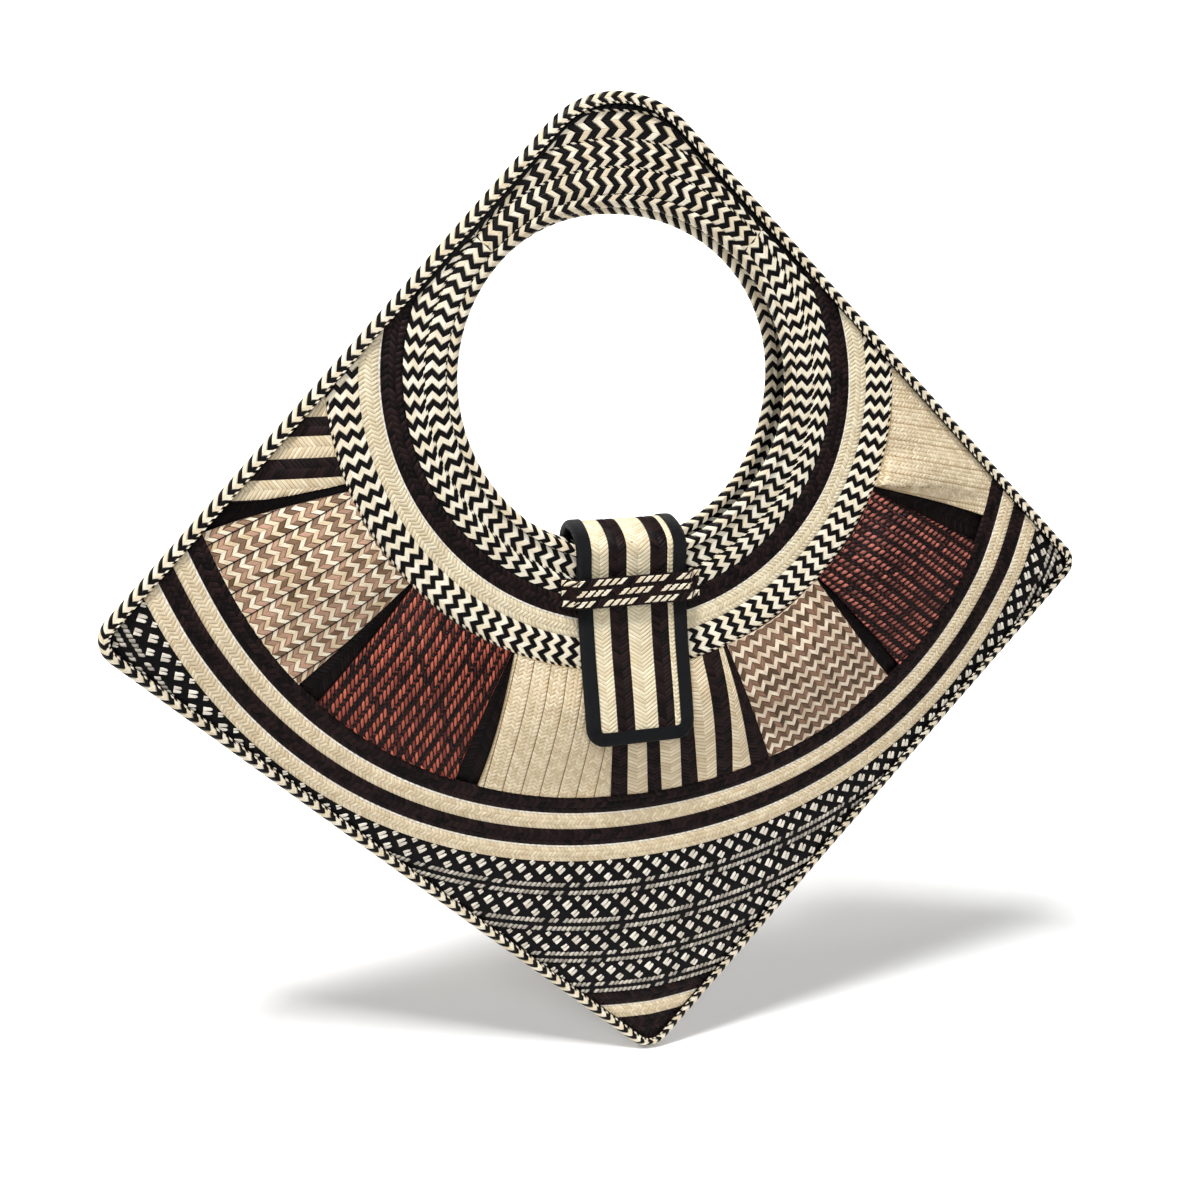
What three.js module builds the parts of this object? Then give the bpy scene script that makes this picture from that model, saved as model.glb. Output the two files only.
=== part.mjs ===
// Woven straw handbag: a square standing on one corner, with a round hand hole under its top corner.
// Two faces of sewn braids, closed by a braid folded over the outline, and a tab over the mouth.
// Millimetres, +Z up, the front faces -Y. The origin is the top of the hand hole, where a hand carries it.
import * as THREE from "three";

// Outline and hand hole, seen from the front
const HALF_DIAGONAL = 226; // of the square, before its corners are rounded
const CORNER_RADIUS = { right: 10, top: 41, left: 12, bottom: 12 };
const HOLE_RADIUS = 71.5;
const HOLE_Z = -HOLE_RADIUS;
const OUTLINE_X = 1.5; // the outline's centre lies a little right of the hole's
const OUTLINE_Z = HOLE_Z - 93;

// Walls and the gap between neighbouring pieces
const WALL = 1.6;
const GAP = 0.3;

// Depth of each face, measured from the middle plane of the bag: at the outline, gained away from the
// outline, and the share of the gain that is left at the top of the handle
const EDGE_DEPTH = 2;
const BELLIES = {
  front: { gain: 4.5, handleShare: 0.42 },
  back: { gain: 18, handleShare: 0.85 },
};
const BELLY_REACH = 70; // distance from the outline at which all is gained
const SWELL = { depth: 3.5, radius: 150, reach: 45 }; // the gathers push the front out
// The sewn rows waver below the hole. The waves grow as the ray from the hole turns down.
const WAVER = { shift: 2.3, radius: 200, reach: 70, peak: 230, period: 86, fade: [0.1, 0.45] };

// Steps of the mesh
const ANGLE_STEP = 7.5;
const WALK_STEP = 0.25;
const WIDEST_CELL = 35; // across a band
const LEAST_WIDTH = 2; // a band ends where the outline leaves it less than this

// Braid folded over the outline, and over the edge of the hole
const EDGE_BINDING = { width: 5.2, wall: 1.5, fold: 1.8, nose: 0.6 };
const RIM_BINDING = { width: 4.2, wall: 1.3, fold: 1.8, nose: 1 };
const SIDE_STATIONS = 6;
const CORNER_STATIONS = { right: 4, top: 8, left: 4, bottom: 4 };

// Radii from the hole's centre
const NECK_OUTER = 93.2;
const NECK_STEPS = [0, 0.28, 1]; // across the neck braid, close together under the rim binding
const HANDLE_ANGLES = { from: 45, to: 135 }; // between them the neck braid reaches the outline
const SIDE_CORNERS = 45; // degrees from straight down, past which the outline runs into its side corners
const PLEATS = { inner: 123.7, outer: 184, seam: 0.6 };

// Concentric bands outside the neck braid: inner and outer radius, colour and the faces that have them.
// The one that fills the side corners goes on to the outline there.
const BANDS = [
  { name: "neck_dark", inner: NECK_OUTER, outer: 102, colour: "dark", faces: "front back" },
  { name: "neck_cream", inner: 102, outer: 110.6, colour: "cream", faces: "front back" },
  { name: "neck_zigzag", inner: 110.6, outer: PLEATS.inner, colour: "zigzag", faces: "front back" },
  { name: "middle_cream", inner: PLEATS.inner, outer: PLEATS.outer, colour: "cream", faces: "back" },
  { name: "arc_dark_inner", inner: PLEATS.outer, outer: 192, colour: "dark", faces: "front back" },
  { name: "arc_cream_inner", inner: 192, outer: 199.7, colour: "cream", faces: "front back" },
  { name: "arc_dark_outer", inner: 199.7, outer: 207.5, colour: "dark", faces: "front back" },
  { name: "arc_cream_outer", inner: 207.5, outer: 215.2, colour: "cream", faces: "front back" },
  { name: "field_1", inner: 215.2, outer: 232, colour: "field", faces: "front back", fillsCorners: true },
  { name: "field_2", inner: 232, outer: 249.6, colour: "field", faces: "front back" },
  { name: "field_3", inner: 249.6, outer: 265.8, colour: "field", faces: "front back" },
  { name: "field_4", inner: 265.8, outer: 282.2, colour: "field", faces: "front back" },
  { name: "tip_dark_upper", inner: 282.2, outer: 288.8, colour: "dark", faces: "front back" },
  { name: "tip_cream", inner: 288.8, outer: 296.3, colour: "cream", faces: "front back" },
  { name: "tip_dark_lower", inner: 296.3, outer: 330, colour: "dark", faces: "front back" },
];

// Gathered panels of the front. Each edge has its angle at the neck, its angle at the arc and its bow
// between them, in degrees, and an edge that is null lies on the outline. The crown is how far the panel
// stands out between its edges.
const PANELS = [
  { name: "stripes_left", from: null, to: [196.4, 193.4, 0], crown: 2, colour: "striped" },
  { name: "tan_left", from: [197.9, 196.3, -0.5], to: [218.7, 218.8, 0], crown: 5, colour: "tan" },
  { name: "rust_left", from: [219.6, 222.2, 0.3], to: [243.3, 243.2, -0.5], crown: 5.5, colour: "rust" },
  { name: "cream_left", from: [243.9, 246.5, 0.7], to: [264.6, 265.4, 0], crown: 4.6, colour: "cream" },
  { name: "stripes_middle", from: [264.6, 265.4, 0], to: [289.7, 289.8, 0], crown: 3, colour: "striped" },
  { name: "tan_right", from: [289.7, 289.8, 0], to: [313.4, 311.3, -0.6], crown: 5, colour: "tan" },
  { name: "rust_right", from: [314, 313.6, 0], to: [335.6, 334.8, -0.3], crown: 5.5, colour: "rust" },
  { name: "cream_right", from: [336.4, 338.7, 0.5], to: null, crown: 3.6, colour: "cream" },
];
const PANEL_CELLS = { across: 6, along: 6 };
const PUFF = { atNeck: 0.4, peak: 0.3, atArc: 0.15 }; // share of a crown's height along the panel
const CROWN_FADE = { none: 8, all: 24 }; // distances from the outline that leave none and all of a crown

// Dark folds that show between panels, tucked under them, the neck and the arc
const FOLDS = [
  { name: "fold_stripes_tan_left", neck: 197.1, arc: 194.8 },
  { name: "fold_tan_rust_left", neck: 219.1, arc: 220.6 },
  { name: "fold_rust_cream_left", neck: 243.6, arc: 244.9 },
  { name: "fold_tan_rust_right", neck: 313.7, arc: 312.4 },
  { name: "fold_rust_cream_right", neck: 336, arc: 336.8 },
];
const FOLD = { spread: 3.2, tuck: 4, cells: 5, inset: 5 };

// Tab: its middle line, by height and by its distance from the face that it lies on
const TAB = { x: -2, width: 49, wall: 2, corner: 8.5, cells: 22, cornerCells: 4, apexY: 9, apexZ: -131 };
const TAB_BACK = [
  { z: -192, lift: 2.6 },
  { z: -170, lift: 2.7 },
  { z: -150, lift: 4.5 },
  { z: -138, lift: 4.4 },
];
const TAB_FRONT = [
  { z: -138, lift: 4.6 },
  { z: -146, lift: 4.6 },
  { z: -153, lift: 3.6 },
  { z: -164, lift: 3.4 },
  { z: -184, lift: 4.4 },
  { z: -207, lift: 6 },
  { z: -226, lift: 8 },
];
const TAB_RIBBON = { width: 7, wall: 0.8, nose: 0.2 };

// Keeper: a braid over the tab, sewn down at both ends
const KEEPER = { width: 62, top: -152, bottom: -165, wall: 1.5, cells: 20, shoulder: 4.5 };

// Colours of the braids and the ribbon
const COLOURS = {
  cream: { color: 0xe6d5a8, roughness: 0.6 },
  dark: { color: 0x2a1a1c, roughness: 0.45 },
  zigzag: { color: 0x9a8d72, roughness: 0.55 },
  striped: { color: 0xb8a685, roughness: 0.55 },
  tan: { color: 0xb6987a, roughness: 0.6 },
  rust: { color: 0x7a3b2e, roughness: 0.5 },
  field: { color: 0x6e6555, roughness: 0.55 },
  ribbon: { color: 0x131314, roughness: 0.7 },
};

// Small mathematics
const radians = (degrees) => THREE.MathUtils.degToRad(degrees);
const lerp = THREE.MathUtils.lerp;
const smoothstep = THREE.MathUtils.smoothstep;
const range = (count) => Array.from({ length: count }, (_, index) => index);
const arch = (share) => 4 * share * (1 - share);
const hump = (value, centre, reach) => Math.max(0, 1 - ((value - centre) / reach) ** 2) ** 2;

// How far a sewn row strays outwards from its radius
function waver(angle, radius) {
  const wave = Math.cos((2 * Math.PI * (angle - WAVER.peak)) / WAVER.period);
  const below = smoothstep(-Math.sin(radians(angle)), ...WAVER.fade);
  return WAVER.shift * wave * below * hump(radius, WAVER.radius, WAVER.reach);
}

// Point of the middle plane at an angle and a row's radius about the hole's centre
function polar(angle, radius) {
  const reach = radius + waver(angle, radius);
  return { x: reach * Math.cos(radians(angle)), z: HOLE_Z + reach * Math.sin(radians(angle)) };
}

// Distance of a point inside the outline, with its rounded corners
function edgeDistance(x, z) {
  const across = x - OUTLINE_X;
  const up = z - OUTLINE_Z;
  const [topRight, topLeft, bottomLeft, bottomRight] = [
    HALF_DIAGONAL - across - up,
    HALF_DIAGONAL + across - up,
    HALF_DIAGONAL + across + up,
    HALF_DIAGONAL - across + up,
  ].map((side) => side * Math.SQRT1_2);
  const corners = [
    [bottomRight, topRight, CORNER_RADIUS.right],
    [topRight, topLeft, CORNER_RADIUS.top],
    [topLeft, bottomLeft, CORNER_RADIUS.left],
    [bottomLeft, bottomRight, CORNER_RADIUS.bottom],
  ];
  const distances = corners.map(([first, second, radius]) => {
    const inCorner = first < radius && second < radius;
    return inCorner ? radius - Math.hypot(radius - first, radius - second) : Math.min(first, second);
  });
  return Math.min(...distances);
}

// Radius at which a ray from the hole's centre comes within an inset of the outline
function edgeRadius(angle, inset) {
  let low = 0;
  let high = 2 * HALF_DIAGONAL;
  while (high - low > 0.001) {
    const middle = (low + high) / 2;
    const { x, z } = polar(angle, middle);
    if (edgeDistance(x, z) > inset) low = middle;
    else high = middle;
  }
  return low;
}

// Share of the belly gained at a distance from the outline
function rise(distance) {
  const left = 1 - THREE.MathUtils.clamp(distance / BELLY_REACH, 0, 1);
  return 1 - left * left;
}

function faceDepth(x, z, { gain, handleShare }) {
  const up = THREE.MathUtils.clamp((z - HOLE_Z) / HOLE_RADIUS, 0, 1);
  const handle = 1 - (1 - handleShare) * up * up;
  return EDGE_DEPTH + gain * handle * rise(edgeDistance(x, z));
}

function frontDepth(x, z) {
  const swell = SWELL.depth * hump(Math.hypot(x, z - HOLE_Z), SWELL.radius, SWELL.reach);
  return faceDepth(x, z, BELLIES.front) + swell * rise(edgeDistance(x, z));
}

function backDepth(x, z) {
  return faceDepth(x, z, BELLIES.back);
}

const FACES = {
  front: { side: -1, depth: frontDepth },
  back: { side: 1, depth: backDepth },
};

// Place on a face: a point of the middle plane, raised from the face by a height
function onFace(face, { x, z }, height) {
  return new THREE.Vector3(x, face.side * (face.depth(x, z) + height), z);
}

// Closed solid between an outer and an inner sheet of points, rows[i][j]. A ring closes on its first row.
function sheetSolid(outer, inner, ring = false) {
  const rows = outer.length;
  const columns = outer[0].length;
  const positions = [...outer.flat(), ...inner.flat()].flatMap((point) => point.toArray());
  const outerAt = (i, j) => (i % rows) * columns + j;
  const innerAt = (i, j) => rows * columns + outerAt(i, j);
  const triangles = [];
  const quad = (a, b, c, d) => triangles.push(a, b, c, a, c, d);
  const lastRow = ring ? rows : rows - 1;
  const lastColumn = columns - 1;
  for (let i = 0; i < lastRow; i += 1) {
    for (let j = 0; j < lastColumn; j += 1) {
      quad(outerAt(i, j), outerAt(i + 1, j), outerAt(i + 1, j + 1), outerAt(i, j + 1));
      quad(innerAt(i, j), innerAt(i, j + 1), innerAt(i + 1, j + 1), innerAt(i + 1, j));
    }
    const [first, last] = [0, lastColumn];
    quad(outerAt(i, first), innerAt(i, first), innerAt(i + 1, first), outerAt(i + 1, first));
    quad(outerAt(i, last), outerAt(i + 1, last), innerAt(i + 1, last), innerAt(i, last));
  }
  for (let j = 0; j < lastColumn && !ring; j += 1) {
    quad(outerAt(0, j), outerAt(0, j + 1), innerAt(0, j + 1), innerAt(0, j));
    quad(outerAt(lastRow, j), innerAt(lastRow, j), innerAt(lastRow, j + 1), outerAt(lastRow, j + 1));
  }
  const geometry = new THREE.BufferGeometry();
  geometry.setAttribute("position", new THREE.Float32BufferAttribute(positions, 3));
  geometry.setIndex(facingOut(positions, triangles));
  geometry.computeVertexNormals();
  return geometry;
}

// Triangles of a closed surface, turned over if they enclose a negative volume
function facingOut(positions, triangles) {
  const point = (index) => new THREE.Vector3().fromArray(positions, 3 * index);
  let volume = 0;
  for (let i = 0; i < triangles.length; i += 3) {
    const [a, b, c] = triangles.slice(i, i + 3).map(point);
    volume += a.dot(b.cross(c));
  }
  return volume < 0 ? triangles.reverse() : triangles;
}

function piece(name, geometry, colour) {
  const material = new THREE.MeshStandardMaterial({ ...COLOURS[colour], metalness: 0 });
  const mesh = new THREE.Mesh(geometry, material);
  mesh.name = name;
  return mesh;
}

// Wall that follows a face between rows of points of the middle plane, raised by height(i, j)
function wallOnFace(face, rows, height, ring) {
  const sheet = (drop) =>
    rows.map((row, i) => row.map((point, j) => onFace(face, point, height(i, j) - drop)));
  return sheetSolid(sheet(0), sheet(WALL), ring);
}

// Innermost reach of the edge binding's slot, where the faces end
const FACE_INSET = EDGE_BINDING.fold + GAP;

// First angle, walking from straight down, at which the outline cuts a radius off
function lastAngle(radius, direction) {
  let angle = 270;
  while (edgeRadius(angle + direction * WALK_STEP, FACE_INSET) > radius) angle += direction * WALK_STEP;
  return angle;
}

// Steps of the shared mesh between the given angles, and those angles themselves
function anglesThrough(fixed) {
  const first = Math.floor(fixed[0] / ANGLE_STEP);
  const steps = range(360 / ANGLE_STEP).map((index) => (first + index) * ANGLE_STEP);
  const isFree = (angle) => fixed.every((other) => Math.abs(angle - other) > WALK_STEP);
  const inside = steps.filter((angle) => angle > fixed[0] && angle < fixed.at(-1) && isFree(angle));
  return [...fixed, ...inside].sort((a, b) => a - b);
}

// Concentric band of a face. The outline cuts its outer edge off first, and then its inner edge.
function bandOnFace(face, { inner, outer, fillsCorners }) {
  const [start, end] = [-1, 1].map((direction) => lastAngle(inner + LEAST_WIDTH, direction));
  const [outerStart, outerEnd] = [-1, 1].map((direction) => lastAngle(outer, direction));
  const whole = outerEnd > outerStart ? [outerStart, outerEnd] : [];
  const cells = Math.ceil((outer - inner) / WIDEST_CELL);
  const rows = anglesThrough([start, ...whole, end]).map((angle) => {
    const edge = edgeRadius(angle, FACE_INSET);
    const inCorner = fillsCorners && Math.abs(angle - 270) > SIDE_CORNERS;
    const limit = inCorner ? edge : Math.min(outer - GAP / 2, edge);
    return range(cells + 1).map((j) => polar(angle, lerp(inner + GAP / 2, limit, j / cells)));
  });
  return wallOnFace(face, rows, () => 0);
}

// Neck braid: a whole ring round the hole, which fills the top corner as well
function neckBraid(face) {
  const start = RIM_BINDING.fold + GAP + HOLE_RADIUS;
  const rows = range(360 / ANGLE_STEP).map((index) => {
    const angle = index * ANGLE_STEP;
    const edge = edgeRadius(angle, FACE_INSET);
    const overHandle = angle > HANDLE_ANGLES.from && angle < HANDLE_ANGLES.to;
    const limit = overHandle ? edge : Math.min(edge, NECK_OUTER - GAP / 2);
    return NECK_STEPS.map((share) => polar(angle, lerp(start, limit, share)));
  });
  return wallOnFace(face, rows, () => 0, true);
}

// Share of a panel's crown along its length, from the neck to the arc
function puff(along) {
  if (along < PUFF.peak) return lerp(PUFF.atNeck, 1, smoothstep(along, 0, PUFF.peak));
  return lerp(1, PUFF.atArc, smoothstep(along, PUFF.peak, 1));
}

// Angle of a panel's edge at a share of the way from the neck to the arc
function panelEdge(edge, direction, share) {
  if (edge === null) return lastAngle(PLEATS.inner + LEAST_WIDTH, direction);
  const halfGap = THREE.MathUtils.radToDeg(GAP / 2 / PLEATS.inner);
  const [neck, arc, bow] = edge;
  return lerp(neck, arc, share) + bow * arch(share) - direction * halfGap;
}

// Gathered panel: crowned between its two folded edges, flatter towards the neck, the arc and the outline
function gatheredPanel({ from, to, crown }) {
  const inner = PLEATS.inner + GAP / 2;
  const outer = PLEATS.outer - PLEATS.seam;
  const { across, along } = PANEL_CELLS;
  const rows = range(across + 1).map((i) =>
    range(along + 1).map((j) => {
      const share = j / along;
      const angle = lerp(panelEdge(from, -1, share), panelEdge(to, 1, share), i / across);
      const limit = Math.min(outer, edgeRadius(angle, FACE_INSET));
      return polar(angle, lerp(inner, limit, share));
    }),
  );
  const height = (i, j) => {
    const { x, z } = rows[i][j];
    const flatAtEdge = smoothstep(edgeDistance(x, z), CROWN_FADE.none, CROWN_FADE.all);
    return crown * flatAtEdge * arch(i / across) * puff(j / along);
  };
  return wallOnFace(FACES.front, rows, height);
}

// Fold: a strip under the edges of two panels, from under the neck to under the arc
function foldStrip({ neck, arc }) {
  const inner = PLEATS.inner - FOLD.tuck;
  const rows = range(3).map((i) =>
    range(FOLD.cells + 1).map((j) => {
      const share = j / FOLD.cells;
      const angle = lerp(neck, arc, share) + FOLD.spread * (i - 1);
      const limit = Math.min(PLEATS.outer + FOLD.tuck, edgeRadius(angle, FOLD.inset));
      return polar(angle, lerp(inner, limit, share));
    }),
  );
  return wallOnFace(FACES.front, rows, () => -WALL - GAP);
}

// Stations round the outline: a point and the direction that leads inwards
function outlineStations() {
  const corners = ["right", "top", "left", "bottom"].map((name, index) => {
    const radius = CORNER_RADIUS[name];
    const middle = 90 * index;
    const reach = HALF_DIAGONAL - radius * Math.SQRT2;
    const centreX = OUTLINE_X + reach * Math.cos(radians(middle));
    const centreZ = OUTLINE_Z + reach * Math.sin(radians(middle));
    const steps = CORNER_STATIONS[name];
    return range(steps + 1).map((step) => {
      const angle = radians(middle - 45 + (90 * step) / steps);
      const [x, z] = [Math.cos(angle), Math.sin(angle)];
      return { x: centreX + radius * x, z: centreZ + radius * z, inward: { x: -x, z: -z } };
    });
  });
  return corners.flatMap((corner, index) => {
    const from = corner.at(-1);
    const to = corners[(index + 1) % corners.length][0];
    const side = range(SIDE_STATIONS - 1).map((step) => {
      const share = (step + 1) / SIDE_STATIONS;
      return { x: lerp(from.x, to.x, share), z: lerp(from.z, to.z, share), inward: from.inward };
    });
    return [...corner, ...side];
  });
}

// Point of the middle plane that lies inwards of a station of the outline
function inwardOf({ x, z, inward }, inset) {
  return { x: x + inward.x * inset, z: z + inward.z * inset };
}

// Braid folded over the outline: two lips on the faces and a fold that closes the bag
function edgeBinding() {
  const { width, wall, fold, nose } = EDGE_BINDING;
  const section = (station, lip, foldInset) => {
    const onLip = (face) => ({ inset, height }) => onFace(face, inwardOf(station, inset), height);
    const { x, z } = inwardOf(station, foldInset);
    const back = lip.map(onLip(FACES.back)).reverse();
    return [...lip.map(onLip(FACES.front)), new THREE.Vector3(x, 0, z), ...back];
  };
  const outerLip = [
    { inset: width, height: GAP + wall },
    { inset: 2 * fold, height: GAP + wall },
    { inset: nose, height: 0 },
  ];
  const innerLip = [
    { inset: width, height: GAP },
    { inset: 2 * fold, height: GAP },
    { inset: fold, height: GAP },
  ];
  const stations = outlineStations();
  const outer = stations.map((station) => section(station, outerLip, 0));
  const inner = stations.map((station) => section(station, innerLip, fold));
  return sheetSolid(outer, inner, true);
}

// Braid folded over one face's edge of the hole
function rimBinding(face) {
  const { width, wall, fold, nose } = RIM_BINDING;
  const middle = -WALL / 2;
  const below = -WALL - GAP;
  const outside = [
    { reach: width, height: GAP + wall },
    { reach: nose, height: GAP + wall },
    { reach: 0, height: middle },
    { reach: nose, height: below - wall },
    { reach: width, height: below - wall },
  ];
  const inside = [
    { reach: width, height: GAP },
    { reach: fold, height: GAP },
    { reach: fold, height: middle },
    { reach: fold, height: below },
    { reach: width, height: below },
  ];
  const sheet = (section) =>
    range(360 / ANGLE_STEP).map((index) => {
      const angle = index * ANGLE_STEP;
      return section.map(({ reach, height }) => onFace(face, polar(angle, HOLE_RADIUS + reach), height));
    });
  return sheetSolid(sheet(outside), sheet(inside), true);
}

// Middle line of the tab: up the back, over the mouth, and down the front through the keeper
function tabLine() {
  const stand = (face) => ({ z, lift }) => onFace(face, { x: TAB.x, z }, lift);
  const apex = new THREE.Vector3(TAB.x, TAB.apexY, TAB.apexZ);
  return new THREE.CatmullRomCurve3([
    ...TAB_BACK.map(stand(FACES.back)),
    apex,
    ...TAB_FRONT.map(stand(FACES.front)),
  ]);
}

// Place on the tab: along its line, across it, and off its middle surface on the outer side
function onTab(line, along, across, off) {
  const share = along / line.getLength();
  const tangent = line.getTangentAt(THREE.MathUtils.clamp(share, 0, 1));
  const normal = new THREE.Vector3(0, tangent.z, -tangent.y);
  return line.getPointAt(share).addScaledVector(normal, off).add(new THREE.Vector3(across, 0, 0));
}

// Lengths and half widths along the tab inside its ribbon, with the rounded corners of its free end
function tabRows(length, halfWidth, corner) {
  const straight = length - corner;
  const body = range(TAB.cells + 1).map((i) => ({ along: (straight * i) / TAB.cells, half: halfWidth }));
  const end = range(TAB.cornerCells).map((i) => {
    const turn = radians((90 * (i + 1)) / TAB.cornerCells);
    return { along: straight + corner * Math.sin(turn), half: halfWidth - corner * (1 - Math.cos(turn)) };
  });
  return [...body, ...end];
}

function tabStrap() {
  const line = tabLine();
  const rim = TAB_RIBBON.wall + GAP;
  const rows = tabRows(line.getLength() - rim, TAB.width / 2 - rim, TAB.corner - rim);
  const sheet = (off) =>
    rows.map(({ along, half }) => [-half, half].map((across) => onTab(line, along, across, off)));
  return sheetSolid(sheet(TAB.wall / 2), sheet(-TAB.wall / 2));
}

// Stations round the tab's two sides and free end, each with the direction that leads inwards
function tabEdge(line) {
  const right = tabRows(line.getLength(), TAB.width / 2, TAB.corner).map(({ along, half }, index) => {
    const turn = radians((90 * Math.max(0, index - TAB.cells)) / TAB.cornerCells);
    return { along, across: half, inwardAlong: -Math.sin(turn), inwardAcross: -Math.cos(turn) };
  });
  const left = right.map(({ across, inwardAcross, ...rest }) => ({
    ...rest, across: -across, inwardAcross: -inwardAcross,
  }));
  return [...right, ...left.reverse()];
}

// Ribbon folded over the tab's two sides and free end
function tabBinding() {
  const line = tabLine();
  const { width, wall, nose } = TAB_RIBBON;
  const inside = TAB.wall / 2 + GAP;
  const outside = inside + wall;
  const place = ({ along, across, inwardAlong, inwardAcross }, inset, off) =>
    onTab(line, along + inwardAlong * inset, across + inwardAcross * inset, off);
  const sheet = (section) =>
    tabEdge(line).map((station) => section.map(({ inset, off }) => place(station, inset, off)));
  const outer = sheet([
    { inset: width, off: outside },
    { inset: nose, off: outside },
    { inset: nose, off: -outside },
    { inset: width, off: -outside },
  ]);
  const inner = sheet([
    { inset: width, off: inside },
    { inset: wall, off: inside },
    { inset: wall, off: -inside },
    { inset: width, off: -inside },
  ]);
  return sheetSolid(outer, inner);
}

// Keeper: flat on the neck at both ends, and raised over the tab between them
function keeperLoop() {
  const underKeeper = TAB_FRONT.filter(({ z }) => z < KEEPER.top && z > KEEPER.bottom);
  const tabTop = TAB.wall / 2 + GAP + TAB_RIBBON.wall;
  const overTab = Math.max(...underKeeper.map(({ lift }) => lift)) + tabTop + 2 * GAP;
  const half = KEEPER.width / 2;
  const tabHalf = TAB.width / 2;
  const rows = range(KEEPER.cells + 1).map((i) => lerp(-half, half, i / KEEPER.cells));
  const shoulder = (across) => smoothstep(Math.abs(across), tabHalf + GAP, tabHalf + KEEPER.shoulder);
  const place = (across, z, off) => {
    const height = lerp(overTab, GAP, shoulder(across)) + off;
    return onFace(FACES.front, { x: TAB.x + across, z }, height);
  };
  const sheet = (off) =>
    rows.map((across) => [KEEPER.bottom, KEEPER.top].map((z) => place(across, z, off)));
  return sheetSolid(sheet(KEEPER.wall), sheet(0));
}

// All bands and the neck of one face
function faceGroup(name) {
  const face = FACES[name];
  const group = new THREE.Group();
  group.add(piece(`${name}_rim_binding`, rimBinding(face), "zigzag"));
  group.add(piece(`${name}_neck_braid`, neckBraid(face), "zigzag"));
  BANDS.filter(({ faces }) => faces.includes(name)).forEach((band) => {
    group.add(piece(`${name}_${band.name}`, bandOnFace(face, band), band.colour));
  });
  return group;
}

function gatherGroup() {
  const group = new THREE.Group();
  PANELS.forEach((panel) => group.add(piece(panel.name, gatheredPanel(panel), panel.colour)));
  FOLDS.forEach((fold) => group.add(piece(fold.name, foldStrip(fold), "dark")));
  return group;
}

function trimGroup() {
  const group = new THREE.Group();
  group.add(piece("edge_binding", edgeBinding(), "zigzag"));
  group.add(piece("tab_strap", tabStrap(), "striped"));
  group.add(piece("tab_binding", tabBinding(), "ribbon"));
  group.add(piece("keeper_loop", keeperLoop(), "dark"));
  return group;
}

const handbag = new THREE.Group();
handbag.add(faceGroup("front"), faceGroup("back"), gatherGroup(), trimGroup());

export default handbag;
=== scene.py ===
"""Looks of the woven straw handbag: every braid is a closed shell with its plaited strands lying on it.

Lengths are in millimetres until a mesh is made. The frame is the part's own: +Z up, the front faces -Y, and
the origin is the top of the hand hole. A braid is laid out in s (along it), t (across it) and h (off it).
"""

import math
from itertools import pairwise
from typing import NamedTuple

import bpy
import numpy as np
from mathutils import Matrix, Vector


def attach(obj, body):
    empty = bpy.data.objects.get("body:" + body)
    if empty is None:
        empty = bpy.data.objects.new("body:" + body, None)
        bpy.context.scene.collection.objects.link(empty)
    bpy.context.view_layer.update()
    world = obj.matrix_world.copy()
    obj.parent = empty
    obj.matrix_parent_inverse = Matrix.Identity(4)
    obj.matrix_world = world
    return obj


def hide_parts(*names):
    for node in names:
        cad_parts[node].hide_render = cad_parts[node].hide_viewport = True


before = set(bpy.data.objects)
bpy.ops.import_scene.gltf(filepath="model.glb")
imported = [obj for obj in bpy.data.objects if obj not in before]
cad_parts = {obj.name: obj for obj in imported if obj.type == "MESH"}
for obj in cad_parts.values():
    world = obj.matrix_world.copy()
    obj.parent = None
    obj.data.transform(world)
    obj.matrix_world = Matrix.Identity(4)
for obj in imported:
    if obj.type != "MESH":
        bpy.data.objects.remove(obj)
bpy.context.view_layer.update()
rng = np.random.default_rng(11)

MM = 0.001

# Outline, hand hole and faces, as in the part's source
HALF_DIAGONAL = 226.0
CORNER_RADIUS = {"right": 10.0, "top": 41.0, "left": 12.0, "bottom": 12.0}  # in their order round it
CORNER_POINTS = 17
HOLE_RADIUS = 71.5
HOLE_Z = -HOLE_RADIUS
OUTLINE_X = 1.5
OUTLINE_Z = HOLE_Z - 93.0
WALL = 1.6
GAP = 0.3
EDGE_DEPTH = 2.0
# Faces: side, gain of the belly, its share at the top of the handle, and depth of the swell
FACES = {"front": (-1, 4.5, 0.42, 3.5), "back": (1, 18.0, 0.85, 0.0)}
BELLY_REACH = 70.0
SWELL = {"radius": 150.0, "reach": 45.0}
WAVER = {"shift": 2.3, "radius": 200.0, "reach": 70.0, "peak": 230.0, "period": 86.0, "fade": (0.1, 0.45)}
EDGE_BINDING = {"width": 5.2, "wall": 1.5, "fold": 1.8, "quarter": 6.4}  # quarter: length of its quarter turn
RIM_BINDING = {"width": 4.2, "wall": 1.3}
FACE_INSET = EDGE_BINDING["fold"] + GAP
PLEATS = {"inner": 123.7, "outer": 184.0}
CROWN_FADE = (8.0, 24.0)
DOWN = 270.0  # angle straight down from the hole's centre
EDGE_STEP = 0.25  # degrees between the angles at which the outline is measured
HALVINGS = 24  # of the span in which a radius on the outline is searched
WAVER_ROUNDS = 3  # in which a row's radius is found from a point

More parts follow.
